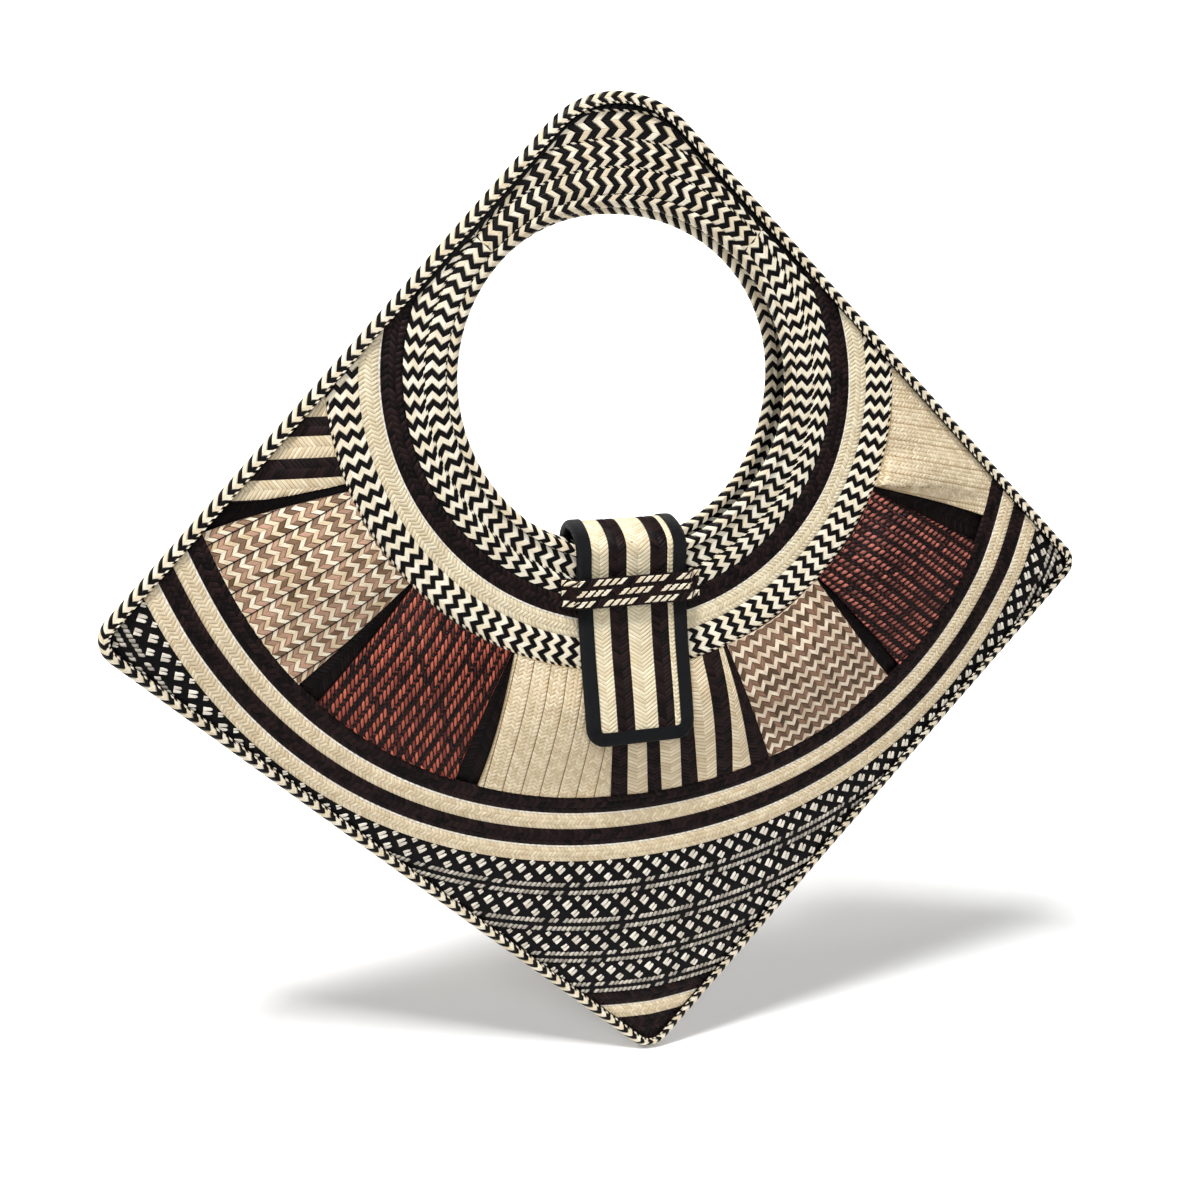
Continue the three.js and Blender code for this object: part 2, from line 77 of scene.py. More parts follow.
# Concentric bands: inner and outer radius, and weave
BANDS = {
    "neck_dark": (93.2, 102.0, "plain_dark"),
    "neck_cream": (102.0, 110.6, "plain_ivory"),
    "neck_zigzag": (110.6, 123.7, "zigzag"),
    "arc_dark_inner": (184.0, 192.0, "plain_dark"),
    "arc_cream_inner": (192.0, 199.7, "plain_cream"),
    "arc_dark_outer": (199.7, 207.5, "plain_dark"),
    "arc_cream_outer": (207.5, 215.2, "plain_cream"),
    "field_1": (215.2, 232.0, "field"),
    "field_2": (232.0, 249.6, "field"),
    "field_3": (249.6, 265.8, "field"),
    "field_4": (265.8, 282.2, "field"),
    "tip_dark_upper": (282.2, 288.8, "plain_dark"),
    "tip_cream": (288.8, 296.3, "plain_cream"),
    "tip_dark_lower": (296.3, 316.0, "plain_dark"),
}
CORNER_BAND = "field_1"  # goes on to the outline in the side corners
SIDE_CORNERS = 45.0  # degrees from straight down, past which the outline runs into its side corners
BAND_TURN = 230.0  # degrees from straight down within which every band ends
BAND_CROWN = 0.5
BAND_LEAST = 1.0  # a band ends where the outline leaves it less than this
BAND_STEP = 2.5  # degrees between two rows of its shell
BAND_ROWS = 8  # least number of rows
BAND_ACROSS = 5  # points in a row

# Gathered panels: edges by their angles at the neck and the arc and their bow between, None on the outline,
# and the crown between them
PANELS = {
    "stripes_left": (None, (196.4, 193.4, 0.0), 2.0),
    "tan_left": ((197.9, 196.3, -0.5), (218.7, 218.8, 0.0), 5.0),
    "rust_left": ((219.6, 222.2, 0.3), (243.3, 243.2, -0.5), 5.5),
    "cream_left": ((243.9, 246.5, 0.7), (264.6, 265.4, 0.0), 4.6),
    "stripes_middle": ((264.6, 265.4, 0.0), (289.7, 289.8, 0.0), 3.0),
    "tan_right": ((289.7, 289.8, 0.0), (313.4, 311.3, -0.6), 5.0),
    "rust_right": ((314.0, 313.6, 0.0), (335.6, 334.8, -0.3), 5.5),
    "cream_right": ((336.4, 338.7, 0.5), None, 3.6),
}
PANEL_LEAST = 2.0  # a panel ends where the outline leaves it less than this
PANEL_RUN = 0.5  # least length that a panel is taken to have from the neck to the outline
PUFF = {"neck": 0.4, "peak": 0.3, "arc": 0.15}  # share of a crown's height along the panel
# Crease of a panel: where it lies across the panel, at the neck, and from its bend on to the arc
CREASES = {"cream_right": (0.01, 0.115)}
# Its drop below the line and lift above it, the shares of the panel's width that they take, and the shares
# of the way to the arc at which it is highest and at which it bends
CREASE = {"drop": 1.2, "reach": 0.012, "lift": 4.6, "fade": 0.3, "peak": 0.06, "bend": 0.55}
FOLDS = {
    "fold_stripes_tan_left": (197.1, 194.8),
    "fold_tan_rust_left": (219.1, 220.6),
    "fold_rust_cream_left": (243.6, 244.9),
    "fold_tan_rust_right": (313.7, 312.4),
    "fold_rust_cream_right": (336.0, 336.8),
}
FOLD = {"spread": 3.2, "tuck": 4.0, "inset": 5.0, "radius": 155.0}  # its spread is measured at the radius

# Tab and keeper: stations of the tab's middle line by height and lift off the face
TAB = {"x": -2.0, "width": 49.0, "wall": 2.0, "corner": 8.5, "apex": (9.0, -131.0)}
TAB_BACK = ((-192.0, 2.6), (-170.0, 2.7), (-150.0, 4.5), (-138.0, 4.4))
TAB_FRONT = (
    (-138.0, 4.6), (-146.0, 4.6), (-153.0, 3.6), (-164.0, 3.4), (-184.0, 4.4), (-207.0, 6.0), (-226.0, 8.0),
)
TAB_RIBBON = {"width": 6.3, "wall": 0.8, "points": 17}  # points across its shell
KEEPER = {"width": 62.0, "top": -152.0, "bottom": -165.0, "wall": 1.5, "shoulder": 4.5, "lift": 6.3}

# Weaves. A repeat is a row of (colour, length along the braid), and None leaves the shell bare.
ZIGZAG = (("milk", 3.5), ("black", 2.8))
HANDLE_ZIGZAG = (("cream", 3.05), ("black", 2.95))
RIM_CHEVRON = (("cream", 3.2), ("black", 2.4))
EDGE_CHEVRON = (("cream", 3.3), ("black", 2.6))
FLECKS = (("cream", 1.8), ("black", 1.4))
DASHES = (("grey", 2.2),) * 12 + ((None, 2.4),) + (("grey", 2.1),) * 2 + ((None, 2.4),)

# Range of each colour, as screen levels from 0 to 255
COLOURS = {
    "milk": ((255, 248, 229), (243, 230, 202)),
    "cream": ((252, 243, 222), (232, 215, 184)),
    "pearl": ((246, 239, 225), (208, 199, 184)),
    "ivory": ((249, 237, 206), (230, 213, 178)),
    "pale": ((244, 228, 197), (220, 199, 163)),
    "light": ((252, 247, 236), (242, 232, 210)),
    "grey": ((214, 206, 192), (150, 143, 132)),
    "dark": ((43, 28, 27), (13, 8, 9)),
    "black": ((20, 16, 18), (9, 8, 9)),
    "night": ((36, 24, 24), (13, 8, 9)),
    "tan": ((207, 166, 141), (104, 79, 54)),
    "fawn": ((254, 244, 220), (222, 199, 160)),
    "umber": ((152, 117, 95), (84, 65, 46)),
    "oat": ((246, 230, 206), (208, 186, 160)),
    "rust": ((208, 112, 89), (128, 60, 50)),
    "brick": ((188, 109, 95), (108, 60, 52)),
    "ember": ((96, 46, 40), (36, 18, 18)),
    "dull": ((158, 133, 98), (128, 104, 74)),
    "sand": ((206, 180, 142), (184, 156, 118)),
}

# Every shell lies a little under the face, and the strands lie on it. Its colour shows between them.
SHELL_TOP = -0.2
SHELLS = {
    # cream is darker than the cream strands on it: painted shade in the gaps between them
    "cream": (188, 166, 126),
    "dark": (18, 11, 12),
    "black": (12, 10, 11),
    "striped": (60, 44, 36),
    "tan": (74, 50, 38),
    "rust": (18, 10, 10),
    # fold is darker than the dark shell: the fold braid's own dark colour with painted shade of the deep gap
    "fold": (10, 7, 8),
    "keeper": (16, 10, 11),
    "ribbon": (26, 27, 29),
}
# Points of a shell in s and in t
SHELL_POINTS = {
    "back": (72, 9),
    "neck": (145, 9),
    "rim": (121, 20),
    "edge": (161, 20),
    "panel": (21, 21),
    "creased": (241, 21),
    "fold": (21, 7),
    "strap": (61, 9),
    "keeper": (41, 5),
}

LEAST_AREA = 0.004  # square millimetres, under which a quad is left out
PLAIN_LEAN = 0.7  # slant of a plain braid's strands, as a share of a column's width
RING_END = 0.01  # a ring's strands, and the last row of the neck braid, end this far before the next start
FIBRE_SPREAD = 400  # room in which a strand's fibre coordinates start
FIBRE_CELL = 3.0  # fibre coordinates from one point of a shell to the next


class Relief(NamedTuple):
    """Shape of a strand: its places across and along, the height left at its ends, and its levels."""

    across: tuple
    along: tuple
    ends: float
    top: float
    sunk: float
    slack: float  # share of its width that stays open beside it
    smooth: bool
    taper: tuple = (1, 1)  # share of its width from its start to its end
    cut: float = 0.0  # how far its ends run across the braid, as a share of its width


FLAT = Relief((0, 0.14, 0.86, 1), (-0.03, 0.08, 0.92, 1.03), 0.6, 0.3, -0.24, 0.04, False)
FOLDED = FLAT._replace(along=(-0.03, 0.06, 0.2, 0.35, 0.5, 0.65, 0.8, 0.94, 1.03))
LOBE = FLAT._replace(along=(-0.03, 0.15, 0.9, 1.03), slack=0.0, taper=(0.3, 0.9, 1, 1, 1, 1), cut=1.0)
ROPE = Relief((0, 0.28, 0.72, 1), (0, 0.2, 0.8, 1), 0.1, 0.45, -0.24, 0.08, True)
GRAIN = ROPE._replace(top=0.5, slack=0.14, taper=(0.75, 1, 1, 0.75), cut=0.25)
PLAIT = Relief((0, 0.5, 1), (0, 0.5, 1), 0.0, 0.35, -0.24, 0.0, True)
TWILL = Relief((0, 0.5, 1), (0, 0.2, 0.8, 1), 0.2, 0.38, -0.12, 0.07, True)
DARK_TWILL = TWILL._replace(top=0.5, slack=0.1)


def linear(levels):
    """Linear colour of screen levels from 0 to 255."""
    share = np.asarray(levels) / 255.0
    return np.where(share <= 0.04045, share / 12.92, ((share + 0.055) / 1.055) ** 2.4)


def tints(name, count):
    """Colours of a number of strands, each somewhere between the two ends of its name's range."""
    first, last = (linear(levels) for levels in COLOURS[name])
    mix = rng.random((count, 1))
    return first * (1 - mix) + last * mix


def smoothstep(value, low, high):
    share = np.clip((value - low) / (high - low), 0, 1)
    return share * share * (3 - 2 * share)


def hump(value, centre, reach):
    return np.maximum(0, 1 - ((value - centre) / reach) ** 2) ** 2


def walked(points):
    """Length walked to each of a row of points."""
    return np.concatenate([[0], np.cumsum(np.hypot(*np.diff(points, axis=0).T))])


def followed(path, places, s):
    """Columns of a path's values, at lengths s walked along it."""
    return [np.interp(s, places, column) for column in path.T]


def spread(kind, s_ends, t_ends):
    """Places in s and in t of the points of a kind of shell."""
    s_count, t_count = SHELL_POINTS[kind]
    return np.linspace(*s_ends, s_count), np.linspace(*t_ends, t_count)


def fitted(repeat, length):
    """A repeat stretched a little, so that a whole number of it fills a length."""
    period = sum(part for _, part in repeat)
    scale = length / round(length / period) / period
    return tuple((colour, part * scale) for colour, part in repeat)


def pleat_share(radius):
    """Share of the way from the neck to the arc."""
    return np.clip((radius - PLEATS["inner"]) / (PLEATS["outer"] - PLEATS["inner"]), 0, 1)


def waver(angle, radius):
    """How far a sewn row strays outwards from its radius."""
    wave = np.cos(2 * np.pi * (angle - WAVER["peak"]) / WAVER["period"])
    below = smoothstep(-np.sin(np.radians(angle)), *WAVER["fade"])
    return WAVER["shift"] * wave * below * hump(radius, WAVER["radius"], WAVER["reach"])


def polar(angle, radius):
    """Point x, z at an angle in degrees and a row's radius about the hole's centre."""
    turn = np.radians(angle)
    reach = radius + waver(angle, radius)
    return reach * np.cos(turn), HOLE_Z + reach * np.sin(turn)


def to_polar(x, z):
    """Angle and row's radius of a point, as polar lays it."""
    angle = np.degrees(np.arctan2(z - HOLE_Z, x)) % 360
    reach = np.hypot(x, z - HOLE_Z)
    radius = reach
    for _ in range(WAVER_ROUNDS):
        radius = reach - waver(angle, radius)
    return angle, radius


def edge_distance(x, z):
    """Distance of a point inside the outline, with its rounded corners."""
    across, up = x - OUTLINE_X, z - OUTLINE_Z
    ways = ((1, -1), (1, 1), (-1, 1), (-1, -1))  # of the sides: the first corner is between the first two
    sides = [(HALF_DIAGONAL - right * across - top * up) * math.sqrt(0.5) for right, top in ways]
    distance = np.full(np.shape(across), np.inf)
    for first, second, radius in zip(sides, sides[1:] + sides[:1], CORNER_RADIUS.values()):
        rounded = radius - np.hypot(radius - first, radius - second)
        inside = (first < radius) & (second < radius)
        distance = np.minimum(distance, np.where(inside, rounded, np.minimum(first, second)))
    return distance


def edge_radius(angle, inset):
    """Radius at which a ray from the hole's centre comes within an inset of the outline."""
    low = np.zeros(np.shape(angle))
    high = np.full(np.shape(angle), 2 * HALF_DIAGONAL)
    for _ in range(HALVINGS):
        middle = (low + high) / 2
        inside = edge_distance(*polar(angle, middle)) > inset
        low = np.where(inside, middle, low)
        high = np.where(inside, high, middle)
    return low


EDGE_ANGLES = np.linspace(0, 360, round(360 / EDGE_STEP) + 1)
EDGE_RADII = edge_radius(EDGE_ANGLES, FACE_INSET)


def face_limit(angle):
    """Radius at which a face ends under the edge binding."""
    return np.interp(angle % 360, EDGE_ANGLES, EDGE_RADII)


def face_depth(face, x, z):
    """Depth of a face off the middle plane."""
    _, gain, handle_share, swell = FACES[face]
    up = np.clip((z - HOLE_Z) / HOLE_RADIUS, 0, 1)
    handle = 1 - (1 - handle_share) * up * up
    rise = 1 - (1 - np.clip(edge_distance(x, z) / BELLY_REACH, 0, 1)) ** 2
    bulge = swell * hump(np.hypot(x, z - HOLE_Z), SWELL["radius"], SWELL["reach"])
    return EDGE_DEPTH + gain * handle * rise + bulge * rise


def on_face(face, x, z, height):
    """Points raised off a face by a height, as one array with x, y, z last."""
    side = FACES[face][0]
    y = side * (face_depth(face, x, z) + height)
    return np.stack(np.broadcast_arrays(x, y, z), axis=-1)


def grid_faces(rows, columns):
    """Quads of a grid of points that is stored row by row."""
    corner = np.arange((rows - 1) * columns).reshape(rows - 1, columns)[:, :-1].ravel()
    return np.stack([corner, corner + columns, corner + columns + 1, corner + 1], axis=1)


class Weave:
    """Mesh of one piece: points, quads, colours and fibre coordinates of its shell and its strands.

    Its strands are laid out in a span, from a start to an end in s.
    """

    def __init__(self, lay, span=(0.0, 0.0)):
        self.lay = lay
        self.span = span
        self.parts = []

    def over(self, lay, span=(0.0, 0.0)):
        """The same mesh, worked on in another layout and span."""
        other = Weave(lay, span)
        other.parts = self.parts
        return other

    def turned(self, s, t):
        """True where s, t and the way off the surface make a left hand, so that quads are turned over."""
        step = 0.1
        here = self.lay(s, t, 0.0)
        along = self.lay(s + step, t, 0.0) - here
        across = self.lay(s, t + step, 0.0) - here
        off = self.lay(s, t, step) - here
        return np.dot(np.cross(along, across), off) < 0

    def add(self, points, faces, colours, fibres, turned, smooth=True):
        """Adds quads, without those that a cut edge has squeezed to nothing."""
        corners = points[faces]
        area = np.linalg.norm(np.cross(corners[:, 2] - corners[:, 0], corners[:, 3] - corners[:, 1]), axis=1)
        faces = faces[area > LEAST_AREA]
        if turned:
            faces = faces[:, ::-1]
        used, faces = np.unique(faces, return_inverse=True)
        faces = faces.reshape(-1, 4)
        shade = np.full(len(faces), smooth)
        count = sum(len(part[0]) for part in self.parts)
        self.parts.append((points[used], faces + count, colours[used], fibres[used], shade))

    def strands(self, s, width, t0, t1, shift, colour, relief):
        """Slanted strands: arrays of starts and colours, with one width and one place across the braid."""
        if len(s) == 0:
            return
        across, along = np.array(relief.across), np.array(relief.along)
        height = np.ones((len(across), len(along)))
        height[:, [0, -1]] = relief.ends
        height[[0, -1], :] = 0
        grid = (len(s), len(across), len(along))
        taper = np.interp(along, np.linspace(0, 1, len(relief.taper)), relief.taper)
        tapered = 0.5 + (across[:, None] - 0.5) * taper[None, :]
        s_grid = s[:, None, None] + shift * along[None, None, :] + width * tapered[None]
        t_grid = t0 + (t1 - t0) * along[None, :] + relief.cut * width * (tapered - 0.5)
        t_grid = np.broadcast_to(t_grid[None], grid)
        h_grid = np.broadcast_to(relief.sunk + (relief.top - relief.sunk) * height[None], grid)
        points = self.lay(s_grid, t_grid, h_grid).reshape(-1, 3)
        per_strand = len(across) * len(along)
        one = grid_faces(len(across), len(along))
        faces = (one[None] + per_strand * np.arange(len(s))[:, None, None]).reshape(-1, 4)
        length = math.hypot(shift, t1 - t0)
        start = rng.random((len(s), 1, 1, 2)) * FIBRE_SPREAD
        run, side = np.meshgrid(along * length, across * width)
        fibres = (np.stack([run, side], axis=-1)[None] + start).reshape(-1, 2)
        colours = np.repeat(colour, per_strand, axis=0)
        turned = self.turned(float(np.median(s)), (t0 + t1) / 2)
        self.add(points, faces, colours, fibres, turned, relief.smooth)

    def column(self, t0, t1, slant, offset, repeat, relief):
        """Column of slanted strands from start to end, in a repeat of colours."""
        start, end = self.span
        period = sum(length for _, length in repeat)
        margin = abs(slant) + period
        first = math.floor((start - offset - margin) / period)
        count = math.ceil((end - start + 2 * margin) / period) + 1
        bases = offset + period * (first + np.arange(count))
        reach = 0.0
        for colour, length in repeat:
            if colour is not None:
                s = bases + reach
                s = s[(s + max(0, slant) + length > start) & (s + min(0, slant) < end)]
                width = length * (1 - relief.slack)
                self.strands(s, width, t0, t1, slant, tints(colour, len(s)), relief)
            reach += length

    def herringbone(self, edges, repeat, slants, relief):
        """Columns between the edges, each slanted so that a strand's line runs on from column to column."""
        offset = 0.0
        for t0, t1, slant in zip(edges[:-1], edges[1:], slants):
            self.column(t0, t1, slant, offset, repeat, relief)
            offset += slant

    def plain(self, t0, t1, colour, relief, pitch=1.8, widest=4.4):
        """Braid of one colour, in columns that lean to and fro."""
        count = max(2, round((t1 - t0) / widest))
        edges = np.linspace(t0, t1, count + 1)
        slant = PLAIN_LEAN * (t1 - t0) / count
        self.herringbone(edges, ((colour, pitch),), to_and_fro(slant, count), relief)

    def shell(self, s, t, colour, top=SHELL_TOP, bottom=-WALL, ring=False):
        """Closed wall under the strands: a row for each s, and places across it for all rows or for each.

        A ring's last row is its first one again.
        """
        s_grid, t_grid = np.broadcast_arrays(s[:, None], t)
        outer = self.lay(s_grid, t_grid, np.full(s_grid.shape, top))
        inner = self.lay(s_grid, t_grid, np.full(s_grid.shape, bottom))
        if ring:
            outer[-1], inner[-1] = outer[0], inner[0]
        middle = tuple(count // 2 for count in s_grid.shape)
        turned = self.turned(float(s_grid[middle]), float(t_grid[middle]))
        sheets = [outer, inner[::-1]]
        sheets.append(np.stack([inner[:, 0], outer[:, 0]], axis=1))
        sheets.append(np.stack([outer[:, -1], inner[:, -1]], axis=1))
        if not ring:
            sheets.append(np.stack([inner[0], outer[0]]))
            sheets.append(np.stack([outer[-1], inner[-1]]))
        for sheet in sheets:
            points = sheet.reshape(-1, 3)
            rows, columns = sheet.shape[:2]
            cells = np.stack(np.meshgrid(np.arange(columns), np.arange(rows)), axis=-1)
            fibres = FIBRE_CELL * cells.reshape(-1, 2)
            colours = np.repeat(linear(SHELLS[colour])[None], len(points), axis=0)
            self.add(points, grid_faces(rows, columns), colours, fibres, turned)

    def build(self, node, slot):
        """Makes the piece that stands for a node, in metres, with its colours and fibre coordinates."""
        name = f"{node}_weave"
        points, faces, colours, fibres, smooth = (np.concatenate(column) for column in zip(*self.parts))
        mesh = bpy.data.meshes.new(name)
        mesh.vertices.add(len(points))
        mesh.vertices.foreach_set("co", (points * MM).astype(np.float32).ravel())
        mesh.loops.add(faces.size)
        mesh.loops.foreach_set("vertex_index", faces.astype(np.int32).ravel())
        mesh.polygons.add(len(faces))
        mesh.polygons.foreach_set("loop_start", np.arange(0, faces.size, 4, dtype=np.int32))
        mesh.update(calc_edges=True)
        mesh.polygons.foreach_set("use_smooth", smooth)
        rgba = np.concatenate([colours, np.ones((len(colours), 1))], axis=1)
        attribute = mesh.color_attributes.new("strand_colour", "FLOAT_COLOR", "POINT")
        attribute.data.foreach_set("color", rgba.astype(np.float32).ravel())
        layer = mesh.uv_layers.new(name="fibre")
        layer.data.foreach_set("uv", fibres[faces.ravel()].astype(np.float32).ravel())
        piece = bpy.data.objects.new(name, mesh)
        bpy.context.scene.collection.objects.link(piece)
        mesh.materials.append(MATERIALS[slot])
        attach(piece, "root")
        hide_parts(node)


def to_and_fro(slant, count):
    """Slants of a number of columns that zigzag."""
    return [slant if index % 2 == 0 else -slant for index in range(count)]


def weave_plain_dark(weave, t0, t1):
    weave.plain(t0, t1, "dark", DARK_TWILL, pitch=2.6, widest=3.0)


SELVEDGE = {"width": 0.7, "slant": 1.0, "repeat": (("light", 3.0),)}
SELVEDGE_RELIEF = TWILL._replace(top=0.35, sunk=0.1)


def weave_plain_cream(weave, t0, t1, colour="pale"):
    """Cream braid with a light selvedge along its inner edge."""
    selvedge = t0 + SELVEDGE["width"]
    weave.column(t0, selvedge, SELVEDGE["slant"], 0.0, SELVEDGE["repeat"], SELVEDGE_RELIEF)
    weave.plain(selvedge, t1, colour, TWILL, widest=2.5)


def weave_plain_ivory(weave, t0, t1):
    weave_plain_cream(weave, t0, t1, "ivory")


ZIGZAG_COLUMNS = 5
ZIGZAG_SLANT = 2.7
FLECK_WIDTH = 1.0
FLECK_SLANT = 1.0


def fleck_row(weave, t0, t1):
    """Narrow column of flecks along an edge of a braid."""
    weave.column(t0, t1, FLECK_SLANT, 0.0, FLECKS, FLAT)


def weave_zigzag(weave, t0, t1):
    """Columns of zigzag, and flecks along the outer edge."""
    flecks = t1 - FLECK_WIDTH
    edges = np.linspace(t0, flecks, ZIGZAG_COLUMNS + 1)
    weave.herringbone(edges, ZIGZAG, to_and_fro(ZIGZAG_SLANT, ZIGZAG_COLUMNS), FLAT)
    fleck_row(weave, flecks, t1)


FIELD_WIDTH = 17.0  # of the patterned braid for which its rows are charted
FIELD_GROUND = PLAIT._replace(top=0.02)
# Rows of hearts: middle across the braid, half diagonal, and offset along the braid in periods
HEART_PERIOD = 9.3
HEART_ROWS = ((1.0, 1.5, 0.5), (4.0, 2.5, 0.0), (7.9, 2.1, 0.45))
# Ropes of dashes: middle across the braid and offset along it
DASH_ROWS = ((11.5, 0.0), (15.5, -6.9))
DASH_HALF = 1.05
DASH_SLANT = -1.5


def heart_row(weave, middle, half, offset, scale):
    """Row of hearts, each of two leaning strands side by side whose ends part at the upper right."""
    width = half / 2
    repeat = (("pearl", width), (None, HEART_PERIOD - width))
    for side in (-0.25, 0.25):
        low = middle + half * (side - 0.5) * scale
        high = middle + half * (side + 0.5) * scale
        place = offset + half * (side + 0.25)
        weave.column(low, high, -half, place, repeat, LOBE)


def weave_field(weave, t0, t1):
    """Patterned braid: rows of hearts over two broken ropes of dashes, on a black ground."""
    weave.plain(t0, t1, "black", FIELD_GROUND, pitch=2.6, widest=2.4)
    scale = (t1 - t0) / FIELD_WIDTH
    for middle, half, offset in HEART_ROWS:
        heart_row(weave, t0 + middle * scale, half, offset * HEART_PERIOD, scale)
    for middle, offset in DASH_ROWS:
        low = t0 + (middle - DASH_HALF) * scale
        high = t0 + (middle + DASH_HALF) * scale
        weave.column(low, high, DASH_SLANT, offset, DASHES, GRAIN)


# Weaves of the bands, with the colour of the shell under each, and slot
WEAVES = {
    "plain_dark": (weave_plain_dark, "dark", "straw_dark"),
    "plain_cream": (weave_plain_cream, "cream", "straw_cream"),
    "plain_ivory": (weave_plain_ivory, "cream", "straw_cream"),
    "zigzag": (weave_zigzag, "black", "straw_zigzag"),
    "field": (weave_field, "black", "straw_field"),
}


def band_lay(face, inner, outer):
    """Layout of a concentric band: s is the length along its middle circle, t is the radius."""
    middle = (inner + outer) / 2
    half = (outer - inner) / 2

    def lay(s, t, h):
        angle = np.degrees(s / middle)
        crown = BAND_CROWN * np.maximum(0, 1 - ((t - middle) / half) ** 2)
        radius = np.minimum(t, face_limit(angle))
        return on_face(face, *polar(angle, radius), h + crown)

    return lay, middle


def band_ends(radius):
    """Angles between which the outline leaves a radius whole, round the lower side."""
    steps = EDGE_STEP * np.arange(round(BAND_TURN / EDGE_STEP))
    ends = []
    for side in (-1, 1):
        angles = DOWN + side * steps
        ends.append(angles[np.argmax(face_limit(angles) <= radius)])
    return ends


def band_limit(name, angle):
    """Radius at which a band ends, at its outer edge or at the outline."""
    limit = face_limit(angle)
    in_corner = (name == CORNER_BAND) & (np.abs(angle - DOWN) > SIDE_CORNERS)
    return np.where(in_corner, limit, np.minimum(BANDS[name][1], limit))


def band(face, name):
    """One concentric band of a face."""
    inner, outer, weave_name = BANDS[name]
    lay, middle = band_lay(face, inner, outer)
    left, right = band_ends(inner + BAND_LEAST)
    pattern, shell_colour, slot = WEAVES[weave_name]
    angle = np.linspace(left, right, max(BAND_ROWS, round((right - left) / BAND_STEP)))
    s = np.radians(angle) * middle
    weave = Weave(lay, (s[0], s[-1]))
    share = np.linspace(0, 1, BAND_ACROSS)
    limit = band_limit(name, angle)[:, None]
    weave.shell(s, inner + share * (limit - inner), shell_colour)
    pattern(weave, inner, outer)
    if name == CORNER_BAND:
        for corner in ((left, DOWN - SIDE_CORNERS), (DOWN + SIDE_CORNERS, right)):
            pattern(weave.over(lay, np.radians(corner) * middle), outer, 2 * outer - inner)
    weave.build(f"{face}_{name}", slot)


BACK_BRAIDS = 8


def back_middle():
    """Plain cream braids sewn side by side, where the front is gathered."""
    inner, outer = PLEATS["inner"], PLEATS["outer"]
    lay, middle = band_lay("back", inner, outer)
    left, right = band_ends(inner + BAND_LEAST)
    angle, share = spread("back", (left, right), (0, 1))
    s = np.radians(angle) * middle
    weave = Weave(lay, (s[0], s[-1]))
    limit = np.minimum(outer, face_limit(angle))[:, None]
    weave.shell(s, inner + share * (limit - inner), "cream")
    for t0, t1 in pairwise(np.linspace(inner, outer, BACK_BRAIDS + 1)):
        weave_plain_cream(weave, t0, t1)
    weave.build("back_middle_cream", "straw_cream")


# Neck braid: rows of zigzag braid round the hole, wider and more of them over the handle
NECK = {"inner": 73.6, "row": 8.9, "first": 75.4, "outer": 93.2, "stretch": 0.22, "middle": 84.4}
NECK_FLECKS = 0.08  # share of a row that its flecks take
NECK_COLUMNS = (3, 4, 3, 3)  # columns of zigzag in each row
HANDLE_ANGLES = (45.0, 135.0)
HANDLE_SINE = math.sin(math.radians(HANDLE_ANGLES[0]))
HANDLE_GAIN = 0.414  # share of itself by which the sine grows from the handle's ends to its top
NECK_SLANT = 2.8
NECK_PLAIN = (("black", 2.6),)
NECK_MARGIN = 5.0  # dark strip along the outline, most of it under the edge binding


def neck_lay(face, margin):
    """Layout of the neck braid, which ends a margin inside the end of the face."""

    def lay(s, t, h):
        angle = np.degrees(s / NECK["middle"])
        up = np.clip(np.sin(np.radians(angle)) / HANDLE_SINE - 1, 0, 1) / HANDLE_GAIN
        radius = NECK["first"] + (t - NECK["first"]) * (1 + NECK["stretch"] * np.clip(up, 0, 1))
        over = (angle % 360 > HANDLE_ANGLES[0]) & (angle % 360 < HANDLE_ANGLES[1])
        limit = face_limit(angle) - margin
        limit = np.where(over, limit, np.minimum(limit, NECK["outer"]))
        row = ((t - NECK["first"]) / NECK["row"]) % 1
        crown = BAND_CROWN * (1 - (2 * row - 1) ** 2)
        return on_face(face, *polar(angle, np.minimum(radius, limit)), h + crown)

    return lay


def neck_row(weave, row, span, repeat, lean):
    """One row of the neck braid: flecks along its inner edge, and columns of zigzag."""
    arc = weave.over(lambda s, t, h: weave.lay(np.clip(s, *span), t, h), span)
    columns = NECK_COLUMNS[row]
    edges = NECK["first"] + NECK["row"] * (row + np.linspace(NECK_FLECKS, 1, columns + 1))
    fleck_row(arc, NECK["first"] + NECK["row"] * row, edges[0])
    arc.herringbone(edges, repeat, to_and_fro(lean, columns), FLAT)


def neck_braid(face):
    """Two rows of zigzag braid round the hole, turned over along the handle, and two more rows there."""
    ground = Weave(neck_lay(face, 0.0))
    turn = 2 * np.pi * NECK["middle"]
    outer = NECK["first"] + len(NECK_COLUMNS) * NECK["row"] - RING_END
    ground.shell(*spread("neck", (0, turn), (NECK["inner"], outer)), "black", ring=True)
    weave = ground.over(neck_lay(face, NECK_MARGIN))
    inside = weave.over(lambda s, t, h: weave.lay(s, t, -WALL - h))
    first, last = np.radians(HANDLE_ANGLES) * NECK["middle"]
    below = ((last, first + turn), ZIGZAG, NECK_SLANT)
    handle = ((first, last), HANDLE_ZIGZAG, -NECK_SLANT)
    for side, row in ((weave, 0), (inside, 0), (weave, 1)):
        neck_row(side, row, *below)
        neck_row(side, row, *handle)
    neck_row(weave, 2, *handle)
    neck_row(ground, 3, (first, last), NECK_PLAIN, -NECK_SLANT)
    weave.build(f"{face}_neck_braid", "straw_zigzag")


